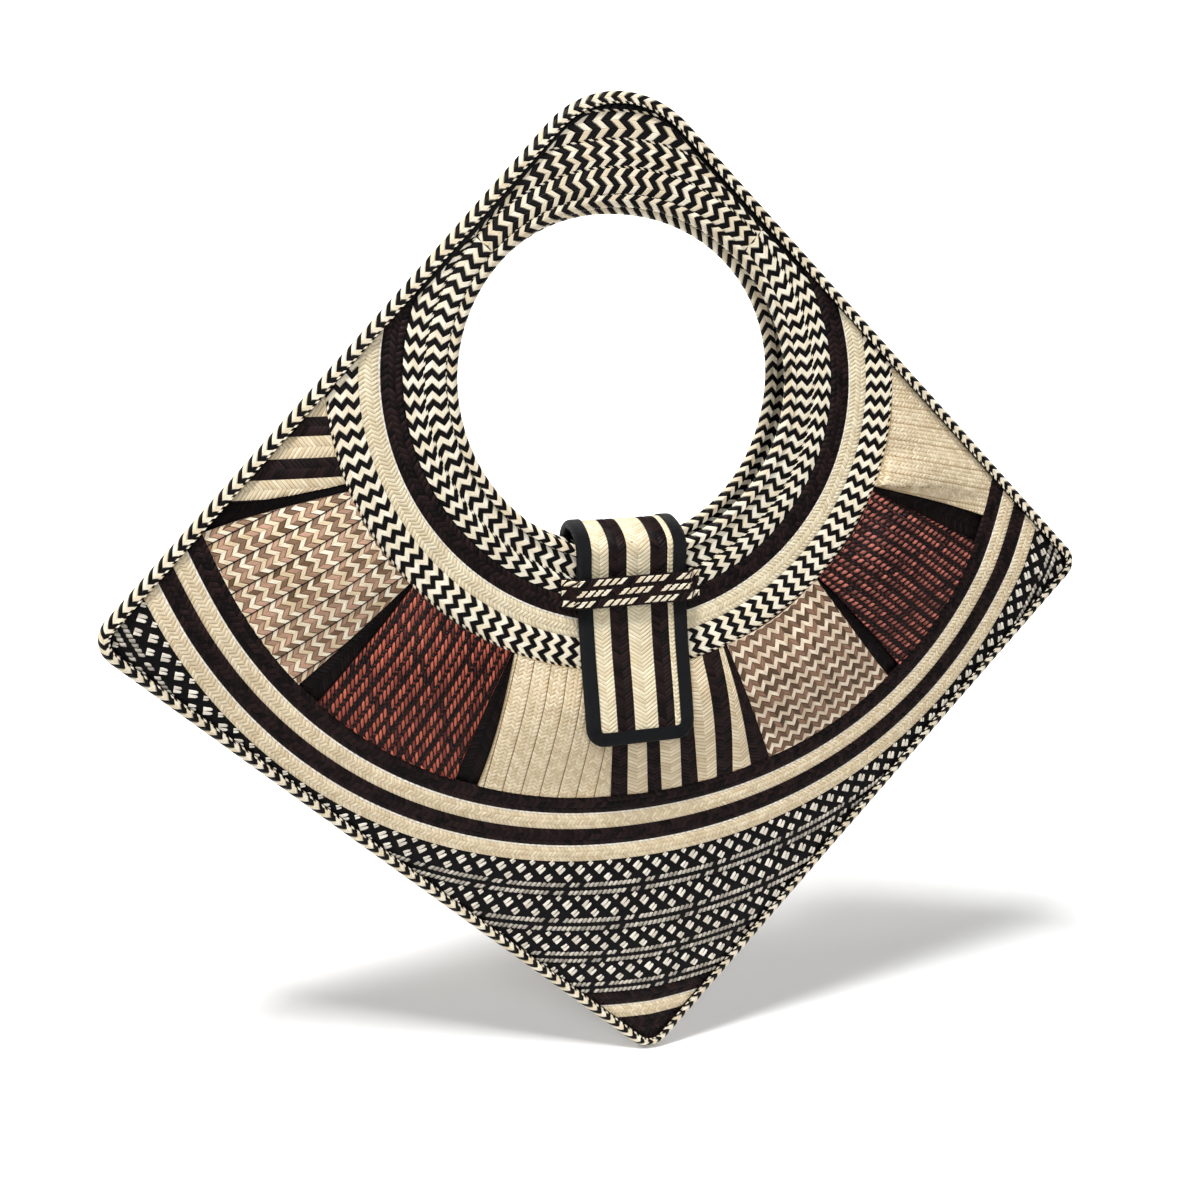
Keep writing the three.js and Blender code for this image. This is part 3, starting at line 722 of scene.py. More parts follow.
class Section:
    """Section of a folded binding, from its lip on top round a nose to its lip underneath.

    It is walked by length, over points (reach, height) and their ways outwards.
    """

    def __init__(self, lip, top, bottom, leg_points, nose_points):
        radius = (top - bottom) / 2
        turn = np.radians(np.linspace(90, 270, nose_points))
        nose = np.stack([radius + radius * np.cos(turn), (top + bottom) / 2 + radius * np.sin(turn)], axis=1)
        leg = np.linspace(lip, radius, leg_points)[:-1]
        front = [(reach, top) for reach in leg]
        back = [(reach, bottom) for reach in reversed(leg)]
        self.points = np.vstack([front, nose, back])
        self.places = walked(self.points)
        self.length = self.places[-1]
        tangent = np.gradient(self.points, self.places, axis=0)
        tangent /= np.linalg.norm(tangent, axis=1, keepdims=True)
        self.normals = np.stack([tangent[:, 1], -tangent[:, 0]], axis=1)

    def at(self, t, h):
        """Reach and height at a length along the section, raised off it by h."""
        reach, height = followed(self.points, self.places, t)
        off_reach, off_height = followed(self.normals, self.places, t)
        return reach + h * off_reach, height + h * off_height


# Columns of a rim binding: width of those along its lips, and slants from the front lip to the inner one
RIM_LIP = 2.0
RIM_SLANTS = (2.3, -3.2, 3.2, -2.3)


def rim_binding(face):
    """Braid folded over the edge of the hole, from its lip on the face to its lip inside."""
    top = GAP + RIM_BINDING["wall"]
    section = Section(RIM_BINDING["width"], top, -WALL - top, leg_points=6, nose_points=25)

    def lay(s, t, h):
        angle = np.degrees(s / HOLE_RADIUS)
        reach, height = section.at(t, h)
        return on_face(face, *polar(angle, HOLE_RADIUS + reach), height)

    turn = 2 * np.pi * HOLE_RADIUS
    weave = Weave(lay, (0, turn - RING_END))
    points = spread("rim", (0, turn), (0, section.length))
    weave.shell(*points, "black", bottom=-RIM_BINDING["wall"], ring=True)
    edges = (0, RIM_LIP, section.length / 2, section.length - RIM_LIP, section.length)
    weave.herringbone(edges, fitted(RIM_CHEVRON, turn), RIM_SLANTS, FOLDED)
    weave.build(f"{face}_rim_binding", "straw_zigzag")


def outline_walk():
    """Points round the outline with their inward ways, and the length walked to each."""
    points = []
    for index, radius in enumerate(CORNER_RADIUS.values()):
        reach = HALF_DIAGONAL - radius * math.sqrt(2)
        middle = math.radians(90 * index)
        centre = (OUTLINE_X + reach * math.cos(middle), OUTLINE_Z + reach * math.sin(middle))
        for turn in np.radians(np.linspace(90 * index - 45, 90 * index + 45, CORNER_POINTS)):
            way = (math.cos(turn), math.sin(turn))
            points.append((centre[0] + radius * way[0], centre[1] + radius * way[1], -way[0], -way[1]))
    points.append(points[0])
    points = np.array(points)
    return points, walked(points[:, :2])


# Columns of the edge binding: widths of its flecks and of the lip with them, and slants from front to back
EDGE_FLECKS = 0.7
EDGE_LIP = 2.6
EDGE_SLANTS = (1.8, -5.0, 5.0, -1.8)
EDGE_BOTTOM = -1.3  # underside of its shell


def edge_binding():
    """Braid folded over the outline, from its lip on the front round to its lip on the back."""
    walk, places = outline_walk()
    top = GAP + EDGE_BINDING["wall"]
    nose = 2 * EDGE_BINDING["fold"]
    lip = EDGE_BINDING["width"] - nose
    quarter = EDGE_BINDING["quarter"]
    length = 2 * (lip + quarter)

    def lay(s, t, h):
        x, z, in_x, in_z = followed(walk, places, s % places[-1])
        side = np.where(t < length / 2, -1.0, 1.0)
        reach = np.minimum(t, length - t)
        turn = np.pi / 2 * np.clip((reach - lip) / quarter, 0, 1)
        inset = np.where(reach < lip, EDGE_BINDING["width"] - reach, nose * (1 - np.sin(turn)))
        face_x, face_z = x + in_x * np.maximum(inset, nose), z + in_z * np.maximum(inset, nose)
        front, back = (face_depth(face, face_x, face_z) for face in FACES)
        depth = np.where(side < 0, front, back) + top
        y = side * (depth * np.cos(turn) + h * np.cos(turn))
        inset = inset - h * np.sin(turn)
        return np.stack([x + in_x * inset, y, z + in_z * inset], axis=-1)

    weave = Weave(lay, (0, places[-1] - RING_END))
    s, t = spread("edge", (0, places[-1]), (0, length))
    weave.shell(np.unique(np.concatenate([places, s])), t, "black", bottom=EDGE_BOTTOM, ring=True)
    edges = (EDGE_FLECKS, EDGE_LIP, length / 2, length - EDGE_LIP, length - EDGE_FLECKS)
    weave.herringbone(edges, fitted(EDGE_CHEVRON, places[-1]), EDGE_SLANTS, FOLDED)
    for t0, t1 in ((0, EDGE_FLECKS), (length - EDGE_FLECKS, length)):
        fleck_row(weave, t0, t1)
    weave.build("edge_binding", "straw_zigzag")


class Panel:
    """Gathered panel: where a point of the middle plane lies on it."""

    def __init__(self, name):
        first, last, self.crown = PANELS[name]
        left, right = band_ends(PLEATS["inner"] + PANEL_LEAST)
        self.first = first or (left, left, 0.0)
        self.last = last or (right, right, 0.0)
        self.axis = (sum(self.first[:2]) + sum(self.last[:2])) / 4
        self.crease = CREASES.get(name)

    def edges(self, share):
        """Angles of both edges at a share of the way from the neck to the arc."""
        arch = 4 * share * (1 - share)
        return tuple(neck + (arc - neck) * share + bow * arch for neck, arc, bow in (self.first, self.last))

    def puff(self, share):
        """Share of the crown's height at a share of the way from the neck to the arc."""
        near = PUFF["neck"] + (1 - PUFF["neck"]) * smoothstep(share, 0, PUFF["peak"])
        far = 1 + (PUFF["arc"] - 1) * smoothstep(share, PUFF["peak"], 1)
        return np.where(share < PUFF["peak"], near, far)

    def place(self, across, share, h):
        """Point at a share across the panel and along it from the neck to the arc."""
        low, high = self.edges(share)
        angle = low + (high - low) * across
        limit = np.minimum(PLEATS["outer"], face_limit(angle))
        x, z = polar(angle, PLEATS["inner"] + (limit - PLEATS["inner"]) * share)
        flat = smoothstep(edge_distance(x, z), *CROWN_FADE)
        height = self.crown * flat * 4 * across * (1 - across) * self.puff(share)
        return on_face("front", x, z, h + height + self.creased(across, share))

    def creased(self, across, share):
        """Height that the panel gains above its crease and loses below it, less towards the arc."""
        if self.crease is None:
            return 0.0
        at_neck, at_arc = self.crease
        below = at_neck + (at_arc - at_neck) * np.clip(share / CREASE["bend"], 0, 1) - across
        step = smoothstep(below, 0, CREASE["reach"])
        sunk = CREASE["drop"] * step
        tall = (1 - share) * smoothstep(share, 0, CREASE["peak"])
        lifted = CREASE["lift"] * (1 - step) * (1 - smoothstep(-below, 0, CREASE["fade"]))
        return tall * (lifted - sunk)

    def drop(self, x, z, h):
        """Point of the middle plane brought onto the panel, and cut off at the panel's edges."""
        angle, radius = to_polar(x, z)
        angle = np.where(angle < 90, angle + 360, angle)
        limit = np.minimum(PLEATS["outer"], face_limit(angle))
        share = np.clip((radius - PLEATS["inner"]) / np.maximum(limit - PLEATS["inner"], PANEL_RUN), 0, 1)
        low, high = self.edges(share)
        return self.place(np.clip((angle - low) / (high - low), 0, 1), share, h)

    def along_lay(self, converge):
        """Layout of braids that run along the panel, parallel but for a little converging at the neck."""
        turn = math.radians(self.axis)

        def lay(s, t, h):
            t = t * (1 - converge * (1 - pleat_share(s)))
            x = s * math.cos(turn) - t * math.sin(turn)
            z = HOLE_Z + s * math.sin(turn) + t * math.cos(turn)
            return self.drop(x, z, h)

        return lay

    def shell(self, weave, colour):
        points = spread("creased" if self.crease else "panel", (0, 1), (0, 1))
        weave.over(self.place).shell(*points, colour)


# Braids of a panel start and end under the neck and the arc, and go past its sides
PANEL_SPAN = (PLEATS["inner"] - 6.0, PLEATS["outer"] + 2.0)
PANEL_HALF = 40.0


def braids_across(width):
    """Edges of braids of a width that cover a panel from side to side."""
    count = math.ceil(PANEL_HALF / width)
    return np.arange(-count, count + 1) * width


# Sewing thread: slant and length of its stitches, and how far they overlap
THREAD = {"slant": 0.6, "stitch": 3.2, "overlap": 0.4}


def thread(weave, t, colour, width, top):
    """Sewing thread along a seam."""
    relief = FLAT._replace(top=top, slack=-THREAD["overlap"])
    low, high = t - width / 2, t + width / 2
    repeat = ((colour, THREAD["stitch"]),)
    weave.column(low, high, THREAD["slant"], 0.0, repeat, relief)


def panel_weave(name, colour, converge):
    """Weave of braids that run along a panel, with its shell."""
    panel = Panel(name)
    weave = Weave(panel.along_lay(converge), PANEL_SPAN)
    panel.shell(weave, colour)
    return weave


# Tan braid: its width, its columns of zigzag and their slant
TAN = {"width": 10.6, "columns": 4, "slant": 2.9}
# Tan panels: repeat of the zigzag, and whether the seams show
TAN_PANELS = {
    "tan_left": ((("tan", 3.0), ("fawn", 2.93)), True),
    "tan_right": ((("umber", 3.1), ("oat", 3.0)), False),
}


def tan_panel(name, repeat, seams):
    """Braids of brown and light zigzags."""
    weave = panel_weave(name, "tan", converge=0.1)
    slants = to_and_fro(TAN["slant"], TAN["columns"])
    edges = braids_across(TAN["width"])
    for t0, t1 in pairwise(edges):
        columns = np.linspace(t0, t1, TAN["columns"] + 1)
        weave.herringbone(columns, repeat, slants, FLAT)
        if seams:
            thread(weave, t0, "night", width=0.55, top=0.45)
    weave.build(name, "straw_tan")


# Rust braid: two ropes of leaning grains between dark plaits, in which a grain stays dark here and there
RUST_WIDTH = 9.3
RUST_PITCH = 2.66
RUST_RUNS = (5, 8, 11, 7, 9, 3)  # grains between two dark ones
RUST_DARK = (("ember", 1.3), ("night", 1.3))
RUST_PLAIT = ROPE._replace(top=0.2)
RUST_GRAIN = ROPE._replace(top=0.8, taper=(0.55, 1, 1, 0.55))
RUST_ROPES = ((1.0, 3.7, 0.0), (5.2, 7.9, 21.55))  # edges across the braid, and offset in grains
RUST_SEAMS = ((0.0, 1.0, -0.8), (3.7, 5.2, -0.8), (7.9, 9.3, 0.8))  # edges across the braid, and slant
RUST_STEP = 12.1  # how many grains each braid is moved on from its neighbour
# Rust panels: colour, slant and slack of the grains
RUST_PANELS = {"rust_left": ("rust", 3.1, 0.05), "rust_right": ("brick", 1.2, 0.2)}


def rust_panel(name, colour, slant, slack):
    """Dark braids with ropes of rust grains."""
    weave = panel_weave(name, "rust", converge=0.12)
    grain = RUST_GRAIN._replace(slack=slack)
    grains = ()
    for run in RUST_RUNS:
        grains += ((colour, RUST_PITCH),) * run + (("ember", RUST_PITCH),)
    for index, t0 in enumerate(braids_across(RUST_WIDTH)):
        for low, high, lean in RUST_SEAMS:
            weave.column(t0 + low, t0 + high, lean, 0.0, RUST_DARK, RUST_PLAIT)
        for low, high, offset in RUST_ROPES:
            start = (offset + RUST_STEP * index) * RUST_PITCH
            weave.column(t0 + low, t0 + high, slant, start, grains, grain)
        thread(weave, t0, "night", width=0.5, top=0.4)
    weave.build(name, "straw_rust")


# Cream panels: width of a braid, and colour of the seams
CREAM_PANELS = {"cream_left": (8.4, "dull"), "cream_right": (8.2, "sand")}
CREAM_SEAM = 0.2  # room that a seam takes on each side


def cream_panel(name, width, seam):
    """Plain cream braids sewn side by side."""
    weave = panel_weave(name, "cream", converge=0.1)
    edges = braids_across(width)
    for t0, t1 in pairwise(edges):
        low, high = t0 + CREAM_SEAM, t1 - CREAM_SEAM
        weave.plain(low, high, "pale", TWILL, widest=2.2)
        thread(weave, t0, seam, width=0.45, top=0.1)
    weave.build(name, "straw_cream")


# Stripes of the middle panel: angles of their edges at the neck and at the arc, dark first
MIDDLE_STRIPES = (
    (264.6, 265.4), (267.3, 267.9), (270.5, 270.9), (272.8, 273.0), (276.8, 276.0), (279.4, 278.5),
    (283.9, 281.4), (287.8, 283.9), (288.8, 286.8), (289.7, 289.8),
)
STRIPE_PITCH = 1.8
STRIPE_SLANT = 2.2
# Stripes of the left panel: heights of their edges, cream first, and where they start and end
LEFT_STRIPES = (-60.0, -79.5, -87.0, -95.5, -103.5, -111.0, -125.0)
LEFT_SPAN = (-185.0, -112.0)


def stripes_middle():
    panel = Panel("stripes_middle")
    neck, arc = np.array(MIDDLE_STRIPES).T

    def lay(s, t, h):
        share = pleat_share(s)
        places = np.arange(len(neck))
        angle = np.interp(t, places, neck) * (1 - share) + np.interp(t, places, arc) * share
        low, high = panel.edges(share)
        return panel.place(np.clip((angle - low) / (high - low), 0, 1), share, h)

    weave = Weave(lay, PANEL_SPAN)
    panel.shell(weave, "striped")
    for index in range(len(MIDDLE_STRIPES) - 1):
        colour = "dark" if index % 2 == 0 else "pale"
        edges = index + np.linspace(0, 1, 3)
        repeat = ((colour, STRIPE_PITCH),)
        weave.herringbone(edges, repeat, to_and_fro(STRIPE_SLANT, 2), TWILL)
    weave.build("stripes_middle", "straw_striped")


def stripes_left():
    panel = Panel("stripes_left")
    weave = Weave(panel.drop, LEFT_SPAN)
    panel.shell(weave, "striped")
    for index, (high, low) in enumerate(pairwise(LEFT_STRIPES)):
        colour = "pale" if index % 2 == 0 else "dark"
        weave.plain(low, high, colour, TWILL)
    weave.build("stripes_left", "straw_striped")


def fold_strip(name):
    """Dark fold between two panels, under their edges, its own dark braid darkened further as painted shade
    of the gap.
    """
    neck, arc = FOLDS[name]
    inner, outer = PLEATS["inner"] - FOLD["tuck"], PLEATS["outer"] + FOLD["tuck"]

    def lay(s, t, h):
        share = np.clip((s - inner) / (outer - inner), 0, 1)
        angle = neck + (arc - neck) * share + np.degrees(t / FOLD["radius"])
        limit = np.minimum(outer, edge_radius(angle, FOLD["inset"]))
        return on_face("front", *polar(angle, inner + share * (limit - inner)), h - WALL - GAP)

    weave = Weave(lay, (inner, outer))
    half = math.radians(FOLD["spread"]) * FOLD["radius"]
    weave.shell(*spread("fold", (inner, outer), (-half, half)), "fold")
    # night is darker than the other dark braids: the fold's own dark straw with painted shade of the gap
    weave.plain(-half, half, "night", PLAIT)
    weave.build(name, "straw_dark")


def tab_line():
    """Middle line of the tab, as (y, z) by the length walked: a centripetal spline through its stations."""
    back = [(face_depth("back", TAB["x"], z) + lift, z) for z, lift in TAB_BACK]
    front = [(-face_depth("front", TAB["x"], z) - lift, z) for z, lift in TAB_FRONT]
    stations = np.array(back + [TAB["apex"]] + front, float)
    ends = (2 * stations[0] - stations[1], 2 * stations[-1] - stations[-2])
    stations = np.vstack([ends[0], stations, ends[1]])
    share = np.linspace(0, 1, 25)[:, None]
    line = []
    for p0, p1, p2, p3 in zip(stations, stations[1:], stations[2:], stations[3:]):
        d0, d1, d2 = (math.sqrt(np.linalg.norm(b - a)) for a, b in ((p0, p1), (p1, p2), (p2, p3)))
        m1 = d1 * ((p1 - p0) / d0 - (p2 - p0) / (d0 + d1) + (p2 - p1) / d1)
        m2 = d1 * ((p2 - p1) / d1 - (p3 - p1) / (d1 + d2) + (p3 - p2) / d2)
        cubic = 2 * p1 - 2 * p2 + m1 + m2
        square = -3 * p1 + 3 * p2 - 2 * m1 - m2
        line.append(cubic * share**3 + square * share**2 + m1 * share + p1)
    line = np.vstack([part[:-1] for part in line] + [line[-1][-1:]])
    return line, walked(line)


TAB_LINE, TAB_PLACES = tab_line()
TAB_LENGTH = TAB_PLACES[-1]
TAB_WAYS = np.gradient(TAB_LINE, TAB_PLACES, axis=0)


def on_tab(s, t, h):
    """Point along the tab, across it and off its middle surface on the outer side."""
    y, z = followed(TAB_LINE, TAB_PLACES, s)
    way_y, way_z = followed(TAB_WAYS, TAB_PLACES, s)
    size = np.hypot(way_y, way_z)
    return np.stack([TAB["x"] + t, y + h * way_z / size, z - h * way_y / size], axis=-1)


def tab_half(s, rim):
    """Half width of the tab inside a rim, with the rounded corners of its free end."""
    corner = TAB["corner"] - rim
    past = np.clip((s - (TAB_LENGTH - TAB["corner"])) / corner, 0, 1)
    return TAB["width"] / 2 - rim - corner * (1 - np.sqrt(1 - past**2))


# Stripes of the tab between its ribbons, from left to right
TAB_STRIPES = (("ivory", 6.8), ("dark", 7.2), ("ivory", 9.4), ("dark", 7.0), ("ivory", 2.3))


def tab_strap():
    rim = TAB_RIBBON["wall"] + GAP
    end = TAB_LENGTH - rim

    def lay(s, t, h):
        s = np.minimum(s, end)
        half = tab_half(s, rim)
        return on_tab(s, np.clip(t, -half, half), h + TAB["wall"] / 2)

    weave = Weave(lay, (0, end))
    s, across = spread("strap", (0, end), (-1, 1))
    weave.shell(s, tab_half(s, rim)[:, None] * across, "striped", bottom=-TAB["wall"])
    room = TAB["width"] - 2 * TAB_RIBBON["width"]
    scale = room / sum(width for _, width in TAB_STRIPES)
    t0 = -room / 2
    for colour, width in TAB_STRIPES:
        weave.plain(t0, t0 + width * scale, colour, TWILL)
        t0 += width * scale
    weave.build("tab_strap", "straw_striped")


def tab_edge():
    """Walk down the tab's right side, round its free end and up its left side, with the ways inwards."""
    corner = TAB["corner"]
    straight = TAB_LENGTH - corner
    half = TAB["width"] / 2
    right = [(s, half, 0.0, -1.0) for s in np.linspace(0, straight, 61)[:-1]]
    for turn in np.radians(np.linspace(0, 90, 9)):
        sine, cosine = math.sin(turn), math.cos(turn)
        right.append((straight + corner * sine, half - corner * (1 - cosine), -sine, -cosine))
    left = [(s, -t, in_s, -in_t) for s, t, in_s, in_t in reversed(right)]
    across = [(TAB_LENGTH, t, -1.0, 0.0) for t in np.linspace(right[-1][1], left[0][1], 9)[1:-1]]
    return np.array(right + across + left)


def tab_binding():
    """Black ribbon folded over the tab's two sides and free end."""
    path = tab_edge()
    places = walked(path[:, :2])
    off = TAB["wall"] / 2 + GAP + TAB_RIBBON["wall"]
    section = Section(TAB_RIBBON["width"], off, -off, leg_points=5, nose_points=9)

    def lay(s, t, h):
        along, across_tab, in_s, in_t = followed(path, places, s)
        inset, height = section.at(t, h)
        return on_tab(np.minimum(along + in_s * inset, TAB_LENGTH), across_tab + in_t * inset, height)

    weave = Weave(lay)
    t = np.linspace(0, section.length, TAB_RIBBON["points"])
    weave.shell(places, t, "ribbon", top=0.0, bottom=-TAB_RIBBON["wall"])
    weave.build("tab_binding", "ribbon_black")


def keeper_lift(across):
    half = TAB["width"] / 2
    share = smoothstep(np.abs(across), half + GAP, half + KEEPER["shoulder"])
    return KEEPER["lift"] + (GAP - KEEPER["lift"]) * share + KEEPER["wall"]


# Rows of the keeper's dashes: groups of four, each lower row further left
KEEPER_ROWS = {"count": 3, "margin": 0.6, "pitch": 4.5, "height": 2.5, "shift": -7.2, "slant": 2.8}
KEEPER_DASHES = (("cream", 3.5),) * 4 + ((None, 4.6),)
KEEPER_DASH = FLAT._replace(top=0.5, slack=0.24)


def keeper_loop():
    """Dark braid over the tab with three rows of cream dashes."""
    half = KEEPER["width"] / 2

    def lay(s, t, h):
        across = np.clip(s, -half, half)
        return on_face("front", TAB["x"] + across, t, h + keeper_lift(across))

    weave = Weave(lay, (-half, half))
    points = spread("keeper", (-half, half), (KEEPER["bottom"], KEEPER["top"]))
    weave.shell(*points, "keeper", bottom=-KEEPER["wall"])
    weave.plain(KEEPER["bottom"], KEEPER["top"], "dark", TWILL)
    for index in range(KEEPER_ROWS["count"]):
        t1 = KEEPER["top"] - KEEPER_ROWS["margin"] - index * KEEPER_ROWS["pitch"]
        t0 = t1 - KEEPER_ROWS["height"]
        shift = KEEPER_ROWS["shift"] * index
        weave.column(t0, t1, KEEPER_ROWS["slant"], shift, KEEPER_DASHES, KEEPER_DASH)
    weave.build("keeper_loop", "straw_keeper")


# Materials: roughness, specular level and streak strength of each straw
FINISHES = {
    "straw_cream": (0.5, 0.2, 0.2),
    "straw_dark": (0.42, 0.1, 0.3),
    "straw_zigzag": (0.44, 0.1, 0.22),
    "straw_striped": (0.46, 0.12, 0.2),
    "straw_tan": (0.48, 0.2, 0.25),
    "straw_rust": (0.42, 0.2, 0.28),
    "straw_field": (0.44, 0.1, 0.22),
    "straw_keeper": (0.42, 0.12, 0.25),
}
FIBRE_BUMP = {"strength": 0.5, "distance": 0.00012}
STREAK_SCALE = (0.25, 3.2, 1.0)  # of the streaks' noise along a strand, across it and off it
STREAK_LIGHT = 0.6  # how far streaks lighten, as a share of how far they darken
STREAK_ROUGH = (-0.08, 0.1)  # what streaks add to the roughness
UNEVEN = {"scale": 45.0, "detail": 2.0, "low": 0.97, "high": 1.02}
RIBS = {"Scale": 1.4, "Distortion": 0.6, "Detail": 1.0}
RIB_SHADES = (0.6, 1.5)
RIB_ROUGH = (0.62, 0.45)
RIB_BUMP = {"strength": 0.7, "distance": 0.00025}
RIBBON_SHINE = 0.1


def new_material(name):
    material = bpy.data.materials.new(name)
    material.use_nodes = True
    tree = material.node_tree
    return material, tree, tree.nodes["Principled BSDF"]


def fill(tree, node, inputs):
    """Fills inputs of a node, by links where the values are sockets."""
    for name, value in inputs.items():
        if isinstance(value, bpy.types.NodeSocket):
            tree.links.new(value, node.inputs[name])
        else:
            node.inputs[name].default_value = value


def add_node(tree, kind, output, inputs, **settings):
    """Adds a node with its settings and inputs, and gives one of its outputs."""
    node = tree.nodes.new(f"ShaderNode{kind}")
    for name, value in settings.items():
        setattr(node, name, value)
    fill(tree, node, inputs)
    return node.outputs[output]


def noise(tree, vector, scale, detail=3.0):
    return add_node(tree, "TexNoise", "Fac", {"Vector": vector, "Scale": scale, "Detail": detail})


def mapped(tree, value, low, high, start=0.3, stop=0.7):
    """A texture's value between start and stop, brought to a range."""
    ends = {"From Min": start, "From Max": stop, "To Min": low, "To Max": high}
    return add_node(tree, "MapRange", "Result", {"Value": value, **ends})


def times(tree, first, second):
    return add_node(tree, "VectorMath", "Vector", {"Vector": first, "Scale": second}, operation="SCALE")


def place_vector(tree):
    return add_node(tree, "TexCoord", "Object", {})


def fibre_vector(tree, scale=(1.0, 1.0, 1.0)):
    fibre = add_node(tree, "UVMap", "UV", {}, uv_map="fibre")
    return add_node(tree, "Mapping", "Vector", {"Vector": fibre, "Scale": scale})


def strand_colour(tree):
    return add_node(tree, "Attribute", "Color", {}, attribute_name="strand_colour")


def bump(tree, height, strength, distance):
    return add_node(tree, "Bump", "Normal", {"Height": height, "Strength": strength, "Distance": distance})


def straw(name):
    """Straw: strand colours with fine streaks along the fibres, broad unevenness and a satin gloss."""
    rough, shine, streak = FINISHES[name]
    material, tree, shader = new_material(name)
    streaks = noise(tree, fibre_vector(tree, STREAK_SCALE), 1.0)
    broad = noise(tree, place_vector(tree), UNEVEN["scale"], UNEVEN["detail"])
    shades = mapped(tree, streaks, 1 - streak, 1 + streak * STREAK_LIGHT)
    tinted = times(tree, strand_colour(tree), shades)
    fill(tree, shader, {
        "Base Color": times(tree, tinted, mapped(tree, broad, UNEVEN["low"], UNEVEN["high"])),
        "Roughness": mapped(tree, streaks, *(rough + change for change in STREAK_ROUGH)),
        "Normal": bump(tree, streaks, **FIBRE_BUMP),
        "Specular IOR Level": shine,
    })
    return material


def ribbon(name):
    """Black ribbon with fine ribs across it."""
    material, tree, shader = new_material(name)
    ribs = add_node(tree, "TexWave", "Fac", {"Vector": fibre_vector(tree), **RIBS}, bands_direction="Y")
    fill(tree, shader, {
        "Base Color": times(tree, strand_colour(tree), mapped(tree, ribs, *RIB_SHADES)),
        "Roughness": mapped(tree, ribs, *RIB_ROUGH),
        "Normal": bump(tree, ribs, **RIB_BUMP),
        "Specular IOR Level": RIBBON_SHINE,
    })
    return material


MATERIALS = {name: straw(name) for name in FINISHES}
MATERIALS["ribbon_black"] = ribbon("ribbon_black")


def make_bag():
    for face in FACES:
        rim_binding(face)
        neck_braid(face)
        for name in BANDS:
            band(face, name)
    back_middle()
    stripes_left()
    for make, panels in ((tan_panel, TAN_PANELS), (rust_panel, RUST_PANELS), (cream_panel, CREAM_PANELS)):
        for name, row in panels.items():
            make(name, *row)
    stripes_middle()
    for name in FOLDS:
        fold_strip(name)
    edge_binding()
    tab_strap()
    tab_binding()
    keeper_loop()


# Camera: place, ways and focal length that the photo's view gives
CAMERA_PLACE = (-115.2, -439.1, -72.9)
CAMERA_AHEAD = (0.21967, 0.95511, -0.19875)
CAMERA_UP = (0.08282, 0.18473, 0.97929)
CAMERA_LENS = 31.244
SENSOR = 36.0
CLIP_START = 0.01


def make_camera():
    data = bpy.data.cameras.new("camera")
    data.lens = CAMERA_LENS
    data.sensor_width = SENSOR
    data.clip_start = CLIP_START
    camera = bpy.data.objects.new("camera", data)
    back = -Vector(CAMERA_AHEAD).normalized()
    right = Vector(CAMERA_UP).cross(back).normalized()
    up = back.cross(right)
    turn = Matrix((right, up, back)).transposed().to_4x4()
    camera.matrix_world = Matrix.Translation(Vector(CAMERA_PLACE) * MM) @ turn
    bpy.context.scene.collection.objects.link(camera)
    bpy.context.scene.camera = camera


# Studio: a round floor that curves up all round, white and glowing behind the bag and grey in front of it,
# lamps and a white sky
FLOOR_Z = -386.2
FLOOR_TILT = (0.03, 0.065, 0.0)  # the bag leans a little in its picture, so the floor is tilted instead
FLOOR_RADIUS = 1.6
FLOOR_RISE = 2.4
FLOOR_ROUGH = 0.7
WHITE = (1, 1, 1, 1)
GLOW = {"from": 0.06, "to": 0.7, "front": 0.0, "behind": 1.0}
FLOOR_GREY = {"from": -0.35, "to": -0.12, "front": 0.42, "behind": 0.9}


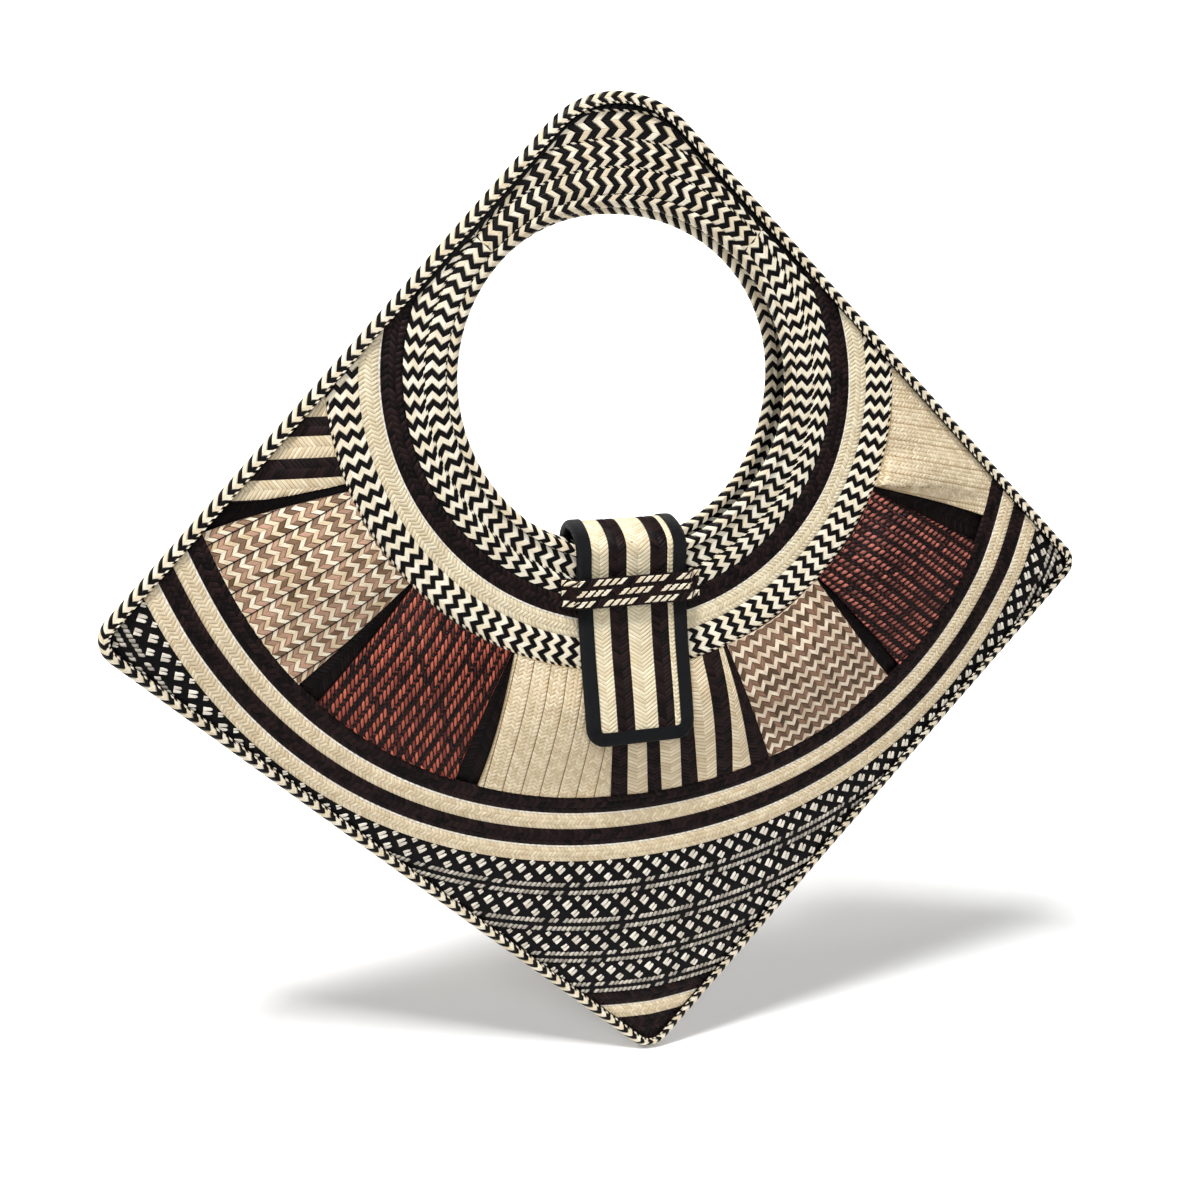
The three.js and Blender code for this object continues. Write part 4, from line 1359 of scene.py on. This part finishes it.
def floor_mesh():
    """Surface of revolution: flat in the middle, then a quarter turn upwards."""
    profile = [(radius, 0.0) for radius in np.linspace(0.02, FLOOR_RADIUS, 6)]
    for turn in np.linspace(0, math.pi / 2, 13)[1:]:
        profile.append((FLOOR_RADIUS + FLOOR_RISE * math.sin(turn), FLOOR_RISE * (1 - math.cos(turn))))
    turns = np.linspace(0, 2 * math.pi, 65)[:-1]
    points = [(r * math.cos(a), r * math.sin(a), z) for r, z in profile for a in turns]
    count = len(turns)
    faces = [tuple(range(count))]
    for first in range(0, count * (len(profile) - 1), count):
        for here in range(count):
            ahead = (here + 1) % count
            faces.append((first + here, first + count + here, first + count + ahead, first + ahead))
    mesh = bpy.data.meshes.new("floor")
    mesh.from_pydata(points, [], faces)
    mesh.polygons.foreach_set("use_smooth", [True] * len(faces))
    return mesh


def floor_material():
    """Grey in front of the bag, white behind it, and glowing further back."""
    material, tree, shader = new_material("floor")
    depth = add_node(tree, "SeparateXYZ", "Y", {"Vector": place_vector(tree)})
    glow, grey = (
        mapped(tree, depth, ramp["front"], ramp["behind"], ramp["from"], ramp["to"])
        for ramp in (GLOW, FLOOR_GREY)
    )
    fill(tree, shader, {
        "Base Color": grey,
        "Roughness": FLOOR_ROUGH,
        "Emission Color": WHITE,
        "Emission Strength": glow,
    })
    return material


def make_floor():
    floor = bpy.data.objects.new("floor", floor_mesh())
    floor.location = (0, 0, FLOOR_Z * MM)
    floor.rotation_euler = FLOOR_TILT
    floor.data.materials.append(floor_material())
    bpy.context.scene.collection.objects.link(floor)


# Lamps: place, size in metres and power in watts
LAMPS = {
    "key": ((-0.53, -0.75, 2.1), 0.42, 62.0),
    "top": ((0.1, 0.3, 2.0), 1.6, 1.0),
    "front": ((-0.1, -1.7, 0.7), 0.8, 9.5),
}
LAMP_TARGET = (0.0, 0.0, -0.17)
SKY = 0.212


def make_light():
    target = Vector(LAMP_TARGET)
    for name, (place, size, power) in LAMPS.items():
        data = bpy.data.lights.new(name, "AREA")
        data.energy = power
        data.size = size
        lamp = bpy.data.objects.new(name, data)
        lamp.location = place
        lamp.rotation_euler = (target - Vector(place)).to_track_quat("-Z", "Y").to_euler()
        bpy.context.scene.collection.objects.link(lamp)
    world = bpy.data.worlds.new("studio")
    world.use_nodes = True
    tree = world.node_tree
    fill(tree, tree.nodes["Background"], {"Color": WHITE, "Strength": SKY})
    bpy.context.scene.world = world
    bpy.context.scene.view_settings.view_transform = "Standard"


make_bag()
make_camera()
make_floor()
make_light()
